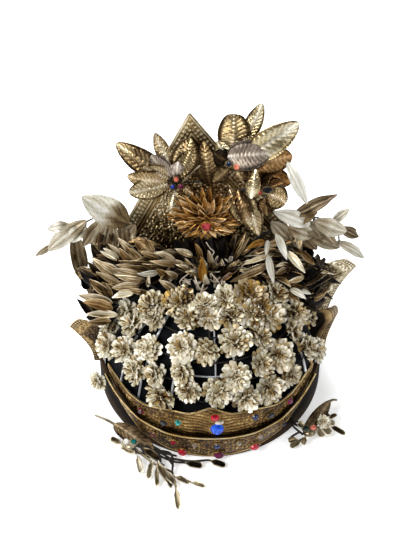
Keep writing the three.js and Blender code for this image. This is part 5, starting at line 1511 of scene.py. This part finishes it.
def spray_leaves(narrow, root, middle, end, length, sweep, rng):
    """Small leaves along one stem"""
    leaves = []
    # The lower layer's darker tone is painted shade under the upper leaves
    for count, lift, tones_with_shade in SPRAY_LAYERS:
        for k in range(count):
            share = SMALL_LEAF_START + SMALL_LEAF_RUN * (k + rng.uniform(0, SMALL_LEAF_SHIFT)) / count
            start = bezier(root, middle, end, share)
            along = unit(2 * (1 - share) * (middle - root) + 2 * share * (end - middle))
            out = unit(start - CAP_CORE)
            across = np.cross(along, out)
            # To one side and the other in turn, and less towards the end of the stem
            turn = math.radians(rng.uniform(*SMALL_LEAF_TURNS)) * (1 if k % 2 else -1) * (1.1 - 0.55 * share)
            heading = along * math.cos(turn) + across * math.sin(turn) + out * rng.uniform(*lift)
            heading = unit(heading + np.array(sweep) + jitter(rng, SMALL_LEAF_SCATTER))
            tip = start + heading * length * rng.uniform(*SMALL_LEAF_LENGTHS)
            width = rng.uniform(*SMALL_LEAF_WIDTHS)
            face = unit(out + jitter(rng, SMALL_LEAF_ROLL))
            leaf = laid(narrow, start, tip, width, face, **drawn(rng, SMALL_LEAF_BENDS),
                        tone=rng.uniform(*tones_with_shade), hue=max(0.0, rng.uniform(*SMALL_LEAF_WARMTHS)))
            column, row = shown(tip)
            if row > CLEAR_ROW_PX or not CLEAR_COLUMNS_PX[0] < column < CLEAR_COLUMNS_PX[1]:
                leaves.append(leaf)
    return leaves


def stalk(twigs, start, tip):
    """Thin stalk from the nearest point of the twigs into the foot of a leaf"""
    start, tip = np.asarray(start, float), np.asarray(tip, float)
    nearest = twigs[np.argmin(np.linalg.norm(twigs - start, axis=1))]
    return np.linspace(nearest, start + (tip - start) * STALK_IN_LEAF, 4)


def make_spray(name, narrow, large, rng):
    """Leaves of one spray, and its stems"""
    (azimuth, height), length, sweep, guides, stem_count, paler = SPRAYS[name]
    root = cap_point(azimuth, height, SPRAY_FOOT)[0]
    parts, pale, stems = [], [], []
    for stem in range(stem_count):
        place = stem / (stem_count - 1) * (len(guides) - 1)
        lower = min(int(place), len(guides) - 2)
        middle, end = guides[lower] + (guides[lower + 1] - guides[lower]) * (place - lower)
        end = end + jitter(rng, SPRAY_STEM_SPREAD)
        stems.append(bezier(root, middle, end, np.linspace(0, 1, 14)[:, None]))
        parts += spray_leaves(narrow, root, middle, end, length, sweep, rng)
    twigs = np.vstack(stems)
    for x, y, tip_x, tip_y, width, tone, hue, front in SEEN_LEAVES_PX[name]:
        start = on_sheet(x, y, front - SEEN_FOOT_BACK)
        tip = on_sheet(tip_x, tip_y, front + rng.uniform(*SEEN_TIP_FORWARD))
        face = unit(jitter(rng, SEEN_LEAF_SCATTER) - CAMERA_FORWARD)
        # The spray's paler tone is painted light
        leaf = laid(large, start, tip, width, face, **drawn(rng, SEEN_LEAF_BENDS), tone=tone + paler,
                    hue=hue)
        (pale if hue == 0 else parts).append(leaf)
        stems.append(stalk(twigs, start, tip))
    put(f"{name}_leaves", parts, SPRAY_BRONZE, [name], smooth=50)
    if pale:
        put(f"{name}_pale", pale, PALE_LEAF, smooth=50)
    return stems


def make_burrs(rng):
    spikes, curls, dark = [], [], []
    for azimuth, height in BURRS:
        foot, normal = cap_point(azimuth, height, BURR_HEART)
        for _ in range(BURR_SPIKES):
            spike = unit(normal + jitter(rng, BURR_SPREAD))
            tip = foot + spike * rng.uniform(*BURR_LENGTHS)
            spikes.append(smooth_route([foot - normal * BURR_HEART, foot, foot + spike * SPIKE_BEND, tip], 7))
        lean = jitter(rng, CURL_REACH)
        rise, fall = (normal * height for height in CURL_HEIGHTS)
        curls.append(smooth_route([foot + lean, foot + lean + rise, foot - lean + fall, foot - lean], 12))
    rising = [on_sheet(x, y, PALE_WIRE_FRONT) for x, y in PALE_WIRE_PX]
    curls.append(smooth_route([cap_point(*PALE_WIRE_FOOT)[0]] + rising, 16))
    azimuth, height = DARK_WIRES
    for _ in range(DARK_WIRE_COUNT):
        place = azimuth + rng.uniform(*DARK_WIRE_AZIMUTHS), height + rng.uniform(*DARK_WIRE_HEIGHTS)
        foot, normal = cap_point(*place, DARK_WIRE_ROOT)
        bend = jitter(rng, DARK_WIRE_BEND)
        tip = foot + normal * rng.uniform(*DARK_WIRE_LENGTHS) + 2 * bend
        dark.append(smooth_route([foot, foot + normal * DARK_WIRE_KNEE + bend, tip], 7))
    put("centre_burrs", [wires(spikes, *BURR_SPIKE), wires(curls, *BURR_CURL)], CALYX)
    put("dark_wire_tuft", [wires(dark, DARK_WIRE_RADIUS)], DARK_TWIG)


def make_sprays():
    rng = np.random.default_rng(23)
    narrow = willow_leaf()
    large = willow_leaf(columns=8, rows=10)
    stems = []
    for name in SPRAYS:
        stems += make_spray(name, narrow, large, rng)
    put("spray_stems", [wires(stems, *SPRAY_STEM)], DARK_TWIG)
    make_burrs(rng)


# Outer leaves

OUTER_STEM_RADIUS = 0.6
OUTER_FACING = np.array([0.0, -0.75, 0.66])
OUTER_SCATTER = 0.25
OUTER_BENDS = {"bow": (0.04, 0.1), "fold": (0.1, 0.5), "droop": (-0.1, 0.12)}
# Stem through points, then for each leaf its start, tip, width, tone, warmth, twist and stained foot
OUTER_LEAVES = {
    "outer_leaves_left": (((-58, 19, 126), (-82, 18, 137), (-99, 20, 127)), (
        ((-61, 15, 134), (-94, 12, 162), 22, 0.55, 0.0, 0.2, 0.9),
        ((-92, 17, 135), (-123, 16, 106), 13, 0.45, 0.2, 0.4, 0.3),
        ((-118, 17, 112), (-134, 18, 99), 5, 0.3, 0.4, 0.0, 0.0),
        ((-104, 18, 128), (-122, 16, 127), 9, 0.5, 0.1, 0.2, 0.4),
        ((-92, 15, 130), (-108, 12, 119), 11, 0.65, 0.15, 0.3, 0.3),
        ((-103, 18, 124), (-100, 18, 74), 13, 0.05, 0.7, 0.2, 0.0),
        ((-80, 17, 136), (-96, 12, 114), 11, 0.15, 0.6, 0.5, 0.0),
        ((-78, 16, 135), (-88, 10, 106), 10, 0.3, 0.4, -0.5, 0.0),
        ((-76, 16, 134), (-81, 8, 110), 11, 0.1, 0.8, 0.3, 0.0),
        ((-72, 16, 133), (-75, 6, 104), 10, 0.2, 0.5, -0.4, 0.0),
        ((-66, 17, 132), (-66, 6, 108), 11, 0.05, 0.7, 0.4, 0.0),
        ((-56, 17, 131), (-66, 12, 119), 10, 0.2, 0.6, 0.3, 0.0))),
    "outer_leaves_right": (((46, 20, 128), (70, 18, 138), (96, 20, 130)), (
        ((74, 12, 135), (46, 10, 149), 12, 0.7, 0.0, 0.2, 0.0),
        ((61, 14, 142), (93, 16, 160), 10, 0.0, 0.6, 0.8, 0.0),
        ((66, 14, 136), (79, 12, 147), 9, 0.35, 0.9, 0.0, 0.0),
        ((77, 14, 137), (102, 14, 127), 14, 0.5, 0.15, -0.3, 0.4),
        ((92, 18, 133), (103, 18, 145), 7, 0.45, 0.1, 0.0, 0.0),
        ((98, 18, 128), (112, 18, 118), 9, 0.0, 0.3, 1.1, 0.0),
        ((71, 12, 129), (98, 14, 111), 13, 0.45, 0.5, 0.5, 0.3),
        ((96, 18, 114), (118, 18, 97), 8, 0.5, 0.05, 0.2, 0.0),
        ((58, 12, 133), (78, 10, 126), 13, 0.25, 0.1, 0.3, 0.5),
        ((70, 16, 134), (87, 11, 122), 12, 0.15, 0.6, 0.4, 0.0),
        ((76, 16, 133), (94, 12, 116), 11, 0.25, 0.5, -0.5, 0.0),
        ((66, 14, 131), (80, 8, 114), 11, 0.1, 0.8, 0.3, 0.0),
        ((60, 14, 131), (68, 6, 114), 10, 0.2, 0.5, 0.5, 0.0),
        ((54, 16, 129), (60, 6, 118), 9, 0.15, 0.7, -0.3, 0.0),
        ((45, 16, 134), (60, 10, 121), 11, 0.3, 0.5, 0.3, 0.0))),
}


def make_outer_leaves():
    rng = np.random.default_rng(31)
    smooth_blade = plain_leaf()
    stems = []
    for name, (stem, leaves) in OUTER_LEAVES.items():
        route = smooth_route(stem, 61)
        parts = []
        for start, tip, width, tone, hue, twist, stain in leaves:
            face = OUTER_FACING + jitter(rng, OUTER_SCATTER)
            parts.append(laid(smooth_blade, start, tip, width, face, **drawn(rng, OUTER_BENDS),
                              twist=twist, tone=tone, hue=hue, stain=stain))
            stems.append(stalk(route, start, tip))
        put(f"{name}_blades", parts, PALE_LEAF, [name], smooth=50)
        stems.append(route)
        stems.append(smooth_route([on_plate(route[0]), route[0]], 4))
    put("outer_leaf_stems", [wires(stems, OUTER_STEM_RADIUS)], DARK_TWIG)


# Wings

# Side, depth, foot, top, inner edge, reach and height of the tip, tone, and how far the lace shows
WINGS = {
    "wing_upper_right": (1, 8, 32.35, 103, 85.8, 113, 91, 0.15, 1.0),
    "wing_lower_right": (1, -14, 25, 75, 87.4, 99, 63, -0.26, 0.12),
    "wing_upper_left": (-1, 8, 32.35, 95, 85.8, 105, 84, -0.35, 0.8),
    "wing_lower_left": (-1, -14, 18, 61, 87.4, 110, 47, -0.1, 0.9),
}
# Shares of the reach at which shoulder and waist lie, and of the height at which the flank is most hollow,
# then how far the crest bulges past the shoulder and ends before it, and how far under the top the inner
# edge ends
WING_SHOULDER = 0.5
WING_WAIST = 0.2
WING_HOLLOW = 0.72
CREST_BULGE = (4, 3)
CREST_END = 2
WING_INNER_DROP = 4
# How far the tip curls back, how far in to the cap a wing may reach, width of the lace, wall, faces,
# relief, and how much paler the outer edge is
WING_CURL = 9.0
WING_INREACH = 12.0
LACE_DEPTH = 13.0
WING_SHEET = 0.6
WING_FACES = (44, 96)
WING_SINK = 0.75
WING_RELIEF = 0.4
WING_EDGE_TONE = 0.6


def wing_outline(foot, top, inner, tip, tip_height):
    """Outer edge of a wing, up its hollow flank to the tip and over its crest"""
    shoulder, waist = (inner + share * (tip - inner) for share in (WING_SHOULDER, WING_WAIST))
    hollow = foot + WING_HOLLOW * (tip_height - foot)
    bulge = np.array([shoulder, top]) + CREST_BULGE
    point = np.array([tip, tip_height])
    share = np.linspace(0, 1, 40)[:, None]
    flank = bezier(np.array([waist, foot]), np.array([waist, hollow]), point, share)
    crest = bezier(point, bulge, np.array([shoulder - CREST_END, top]), share)
    return np.vstack([flank, crest[1:]])


def lace_relief(point, place, from_edge, lace):
    """A dotted border between two lines, and lace that is cut out near it and raised further in"""
    dots = ridge(from_edge - 2.4, 1.0) * np.clip(np.cos(TURN * place / 2.8), 0, 1)
    lines = ridge(from_edge, 0.6) + 0.7 * ridge(from_edge - 4.4, 0.5)
    points = studs(point[:, 0], point[:, 1], 2.6, 0.85)
    margin = np.clip((LACE_DEPTH - from_edge) / 3, 0, 1)
    field = margin * (0.75 - 0.75 * lace * points) + (1 - margin) * (0.15 + 0.6 * lace * points)
    return np.clip(np.maximum(dots + lines, field * np.clip((from_edge - 5.0) / 0.8, 0, 1)), 0, 1)


def make_wings():
    for name, (side, depth, foot, top, inner, tip, tip_height, pale, lace) in WINGS.items():
        outline = wing_outline(foot, top, inner, tip, tip_height)
        run = np.concatenate([[0], np.cumsum(np.linalg.norm(np.diff(outline, axis=0), axis=1))])

        def shape(u, v):
            place = v * run[-1]
            outer = np.stack([np.interp(place, run, outline[:, k]) for k in (0, 1)], -1)
            level = foot + v * (top - WING_INNER_DROP - foot)
            round_off = np.clip(1 - (level / CAP_HEIGHT) ** CAP_ROUNDNESS, 0, 1) ** (2 / CAP_ROUNDNESS)
            cap_edge = CAP_HALF_WIDTH * np.sqrt(np.maximum(round_off - (depth / CAP_HALF_DEPTH) ** 2, 0))
            back = np.stack([np.clip(cap_edge, inner - WING_INREACH, inner), level], -1)
            point = back + u[:, None] * (outer - back)
            raised = lace_relief(point, place, (1 - u) * np.linalg.norm(outer - back, axis=-1), lace)
            reach = np.maximum(point[:, 0] - inner, 0) / (tip - inner)
            y = depth - WING_SINK + WING_CURL * reach ** 2 - WING_RELIEF * raised
            return np.stack([side * point[:, 0], y, point[:, 1]], -1), raised
        sheet = pressed(*WING_FACES, shape, WING_SHEET)
        tone = pale + WING_EDGE_TONE * sheet.flat[:, 0] ** 2
        finish = WING_GILT if name == "wing_upper_right" else PLATE_GILT
        put(f"{name}_sheet", [sheet._replace(tone=tone)], finish, [name])


# Ear pendants

# Panel (start, tip, width), pad, azimuth of the link to the rim, bright twigs, dark twigs, and hanging
# tongues (start, tip, width, tone, twist)
PENDANTS = {
    "ear_pendant_left": (((-73, -75, 10), (-42, -97, 8), 13), (-60, -92, 7), -36, (
        ((-72, -75, 10), (-79, -71, 11), (-88, -67, 12)),
        ((-58, -94, 7), (-45, -106, 6), (-36, -113, 5), (-26, -126, 4), (-25, -133, 4)),
        ((-32, -118, 5), (-25, -120, 4), (-12, -125, 3.5))), (
        ((-40, -98, 8), (-29, -101, 6.5), (-28, -118, 4)), ((-42, -100, 7), (-28, -106, 5), (-18, -107, 4.5)),
        ((-30, -104, 6), (-15, -106, 5), (-3, -105, 5), (1, -105, 4.5)),
        ((-58, -92, 9), (-40, -99, 8), (-30, -103, 5)),
        ((-60, -95, 7), (-44, -103, 6), (-34, -110, 5)), ((-55, -90, 9), (-38, -97, 7), (-27, -110, 4)),
        ((-52, -95, 8), (-46, -104, 6), (-43, -110, 5)), ((-48, -94, 9), (-38, -102, 7), (-37, -112, 5)),
        ((-56, -98, 6), (-48, -101, 7), (-36, -100, 7)), ((-45, -96, 8), (-34, -100, 7), (-25, -101, 5))), (
        ((-66, -92, 7), (-75, -84, 5), 4.2, 0.5, 0.2), ((-55, -99, 5), (-67, -92, 5), 4.4, 0.55, 0.3),
        ((-54, -101, 6), (-51, -116, 3), 4.6, 1.0, 0.2), ((-43, -106, 6), (-46, -121, 3), 4.2, 0.6, 0.4),
        ((-39.5, -111, 6), (-39, -128, 3), 3.4, 0.6, 0.2), ((-39, -108, 7), (-29, -130, 4), 6.4, 0.6, 1.0),
        ((-14, -124, 3.5), (-4, -128, 3), 3.6, 0.5, 0.3), ((-26, -119, 4.5), (-16, -126, 3.5), 4.6, 0.6, 0.9),
        ((-25, -130, 4), (-23, -148, 3), 4.4, 0.6, 0.3), ((-19, -107, 4.5), (-6, -109, 3), 5, 0.05, 0.2),
        ((0, -105, 4.5), (11, -109, 3), 5, 0.05, 0.4), ((-50, -96, 8), (-38, -106, 6), 6, 0.0, 0.6),
        ((-34, -115, 5.5), (-26, -127, 4), 5.6, 0.6, 0.8), ((-36, -113, 5), (-27, -118, 4), 4.2, 0.4, 0.8))),
    "ear_pendant_right": (((71, -83, 7), (92, -56, 16), 11), (75, -80, 8), 45, (
        ((91, -57, 16), (94, -57, 18), (97, -58, 19)), ((78, -76, 7), (86, -73, 8), (95, -70, 8))), (
        ((72, -84, 6), (66, -87, 5), (61, -89, 4)), ((76, -74, 8), (68, -72, 9), (64, -70, 9)),
        ((70, -82, 7), (64, -76, 8), (62, -73, 9)), ((68, -80, 8), (63, -82, 6), (59, -84, 4))), (
        ((86, -71, 9), (97, -63, 8), 3.6, 0.35, 0.3), ((91, -74, 8), (102, -81, 6), 4.0, 0.0, 0.2),
        ((84, -74, 9), (91, -81, 6), 6.4, 0.6, 0.3), ((82, -76, 8), (85, -83, 5), 6.0, 0.55, 0.2),
        ((85, -72, 9), (95, -72, 8), 6.6, 0.7, 0.5), ((84, -70, 10), (90, -63, 9), 6.4, 0.5, 0.4),
        ((66, -86, 6), (59, -85, 4), 4.2, 0.2, 0.3), ((68, -87, 5), (60, -91, 3.5), 4.4, 0.3, 0.3),
        ((72, -77, 9), (67, -72, 9), 4.8, 0.75, 0.4), ((72, -84, 7), (69, -90, 5), 4.4, 0.4, 0.5))),
}
PENDANT_FACING = unit([0.0, -0.4, 0.92])
PENDANT_PAD_DEPTH = 6.4
PENDANT_PAD_RADII = (4.9, 4.9, 3.0)
# Bright and dark twigs (radius and the share of it left at their ends), and the links' radius and height on
# the rim
BRIGHT_TWIG = (1.1, 0.75)
THIN_TWIG = (1.0, 0.75)
LINK_RADIUS = 1.1
LINK_HEIGHT = 6
# The small flower on the right pendant: place, facing, radius, spin and tone
PENDANT_FLOWER = ((86, -73, 11), (0.2, -0.5, 0.85), 6.0, 0.7, 0.1)
# Stones on the pads: side and name, offsets from the pad to the right and front, and half size
PENDANT_STONES = (
    ("left", "bead", -2.8, 0.4, 2.5), ("left", "teal", 2.8, 0.4, 2.3),
    ("right", "coral", 2.8, -0.4, 2.4), ("right", "green", -2.8, 0.4, 2.4),
)


def make_pendants(heads):
    panel_leaf = stamped_leaf(length=40, width=14, veins=9, depth=0.7, columns=16, rows=44, wall=0.8)
    tongue = paddle()
    collets = []
    for name, ((start, tip, width), pad, link, twigs, dark_twigs, drops) in PENDANTS.items():
        bright, dark = ([smooth_route(points, 24) for points in routes] for routes in (twigs, dark_twigs))
        parts = [laid(panel_leaf, start, tip, width, PENDANT_FACING, bow=0.02, fold=0.1, tone=0.15, hue=0.4)]
        for begin, end, wide, tone, twist in drops:
            parts.append(laid(tongue, begin, end, wide, PENDANT_FACING,
                              bow=0.03, twist=twist, fold=0.1, tone=tone))
        parts.append(wires(bright, *BRIGHT_TWIG))
        put(f"{name}_plates", parts, PENDANT_GILT, [name])
        tie = smooth_route([wall_point(link, LINK_HEIGHT, GAP), pad], 6)
        put(f"{name}_twigs", [wires(dark, *THIN_TWIG), wires([tie], LINK_RADIUS)], DARK_TWIG)
        collets.append(moved(BEAD, np.diag(PENDANT_PAD_RADII), pad))
    for side, name, right, front, size in PENDANT_STONES:
        pad = np.array(PENDANTS[f"ear_pendant_{side}"][1], float)
        seat = pad + RIGHT * right + FRONT * front + UP * (PENDANT_PAD_DEPTH / 2 + GAP)
        set_stone(f"pendant_{side}_{name}", seat, UP, RIGHT, -FRONT, [size] * 3, collets)
    put("pendant_collets", collets, PENDANT_GILT)
    put("pendant_flower", [faced(heads[2], *PENDANT_FLOWER)], FLOWER_GILT, smooth=60)


# Stage

# Size of the floor and how far it lies under the object, in metres, distances between which it glows more and
# its glow there, then the light of the sky, and soft lights (place, size, watts) with what they point at
FLOOR_SIZE = 16
FLOOR_DROP = 0.0003
GLOW_DISTANCES = (0.5, 2.0)
GLOW = (0.45, 1.0)
SKY_LIGHT = 0.2
SOFT_LIGHTS = {
    "back_softbox": ((-200, 520, 850), (800, 600), 12.0),
    "left_softbox": ((-500, -600, 750), (400, 400), 7.5),
    "right_fill": ((700, -400, 700), (600, 500), 2.5),
}
LIT_POINT = (0, 0, 80)


def make_floor():
    clear_selection()
    bpy.ops.mesh.primitive_plane_add(size=FLOOR_SIZE, location=(0, 0, -FLOOR_DROP))
    floor = bpy.context.object
    floor.name = "floor"
    # The paper glows more where the softboxes no longer reach it, so it stays white to its edge
    finish, tree, place = new_finish("white_paper")
    away = add_node(tree, "VectorMath", {"operation": "LENGTH"}, {0: place})
    glow = add_node(tree, "MapRange", {"From Min": GLOW_DISTANCES[0], "From Max": GLOW_DISTANCES[1],
                                       "To Min": GLOW[0], "To Max": GLOW[1]},
                    {"Value": away.outputs["Value"]})
    lay_surface(tree, {
        "Base Color": colour("#fbfbfb"), "Emission Color": colour("#ffffff"), "Roughness": 0.9},
        {"Emission Strength": glow.outputs["Result"]})
    floor.data.materials.append(finish)


def make_light():
    world = bpy.data.worlds.new("studio")
    world.use_nodes = True
    tree = world.node_tree
    tree.nodes.clear()
    backdrop, sky = (
        add_node(tree, "Background", {"Color": colour("#ffffff"), "Strength": strength})
        for strength in (1.0, SKY_LIGHT))
    path = add_node(tree, "LightPath")
    mixed = add_node(tree, "MixShader", links={
        0: path.outputs["Is Camera Ray"], 1: sky.outputs["Background"], 2: backdrop.outputs["Background"]})
    add_node(tree, "OutputWorld", links={"Surface": mixed.outputs["Shader"]})
    bpy.context.scene.world = world
    for name, (place, size, watts) in SOFT_LIGHTS.items():
        data = bpy.data.lights.new(name, "AREA")
        data.shape = "RECTANGLE"
        data.size, data.size_y = (side * MM for side in size)
        data.energy = watts
        light = bpy.data.objects.new(name, data)
        light.location = metres(place)
        light.rotation_euler = (metres(LIT_POINT) - light.location).to_track_quat("-Z", "Y").to_euler()
        bpy.context.collection.objects.link(light)
    bpy.context.scene.view_settings.view_transform = "Standard"


def make_camera():
    data = bpy.data.cameras.new("photo_camera")
    data.sensor_width = SENSOR
    data.lens = FOCAL_PX / FRAME_HEIGHT_PX * SENSOR
    data.clip_start = CAMERA_NEAR * MM
    camera = bpy.data.objects.new("photo_camera", data)
    camera.location = metres(CAMERA_PLACE)
    camera.rotation_euler = (math.radians(90 - CAMERA_ELEVATION), 0, 0)
    bpy.context.collection.objects.link(camera)
    bpy.context.scene.camera = camera


make_camera()
make_floor()
make_light()
make_cap()
make_rim()
flower_heads = make_flowers()
make_diadems()
make_strip_stones()
make_plate()
make_rosettes()
make_chrysanthemum()
make_sprays()
make_outer_leaves()
make_wings()
make_pendants(flower_heads)
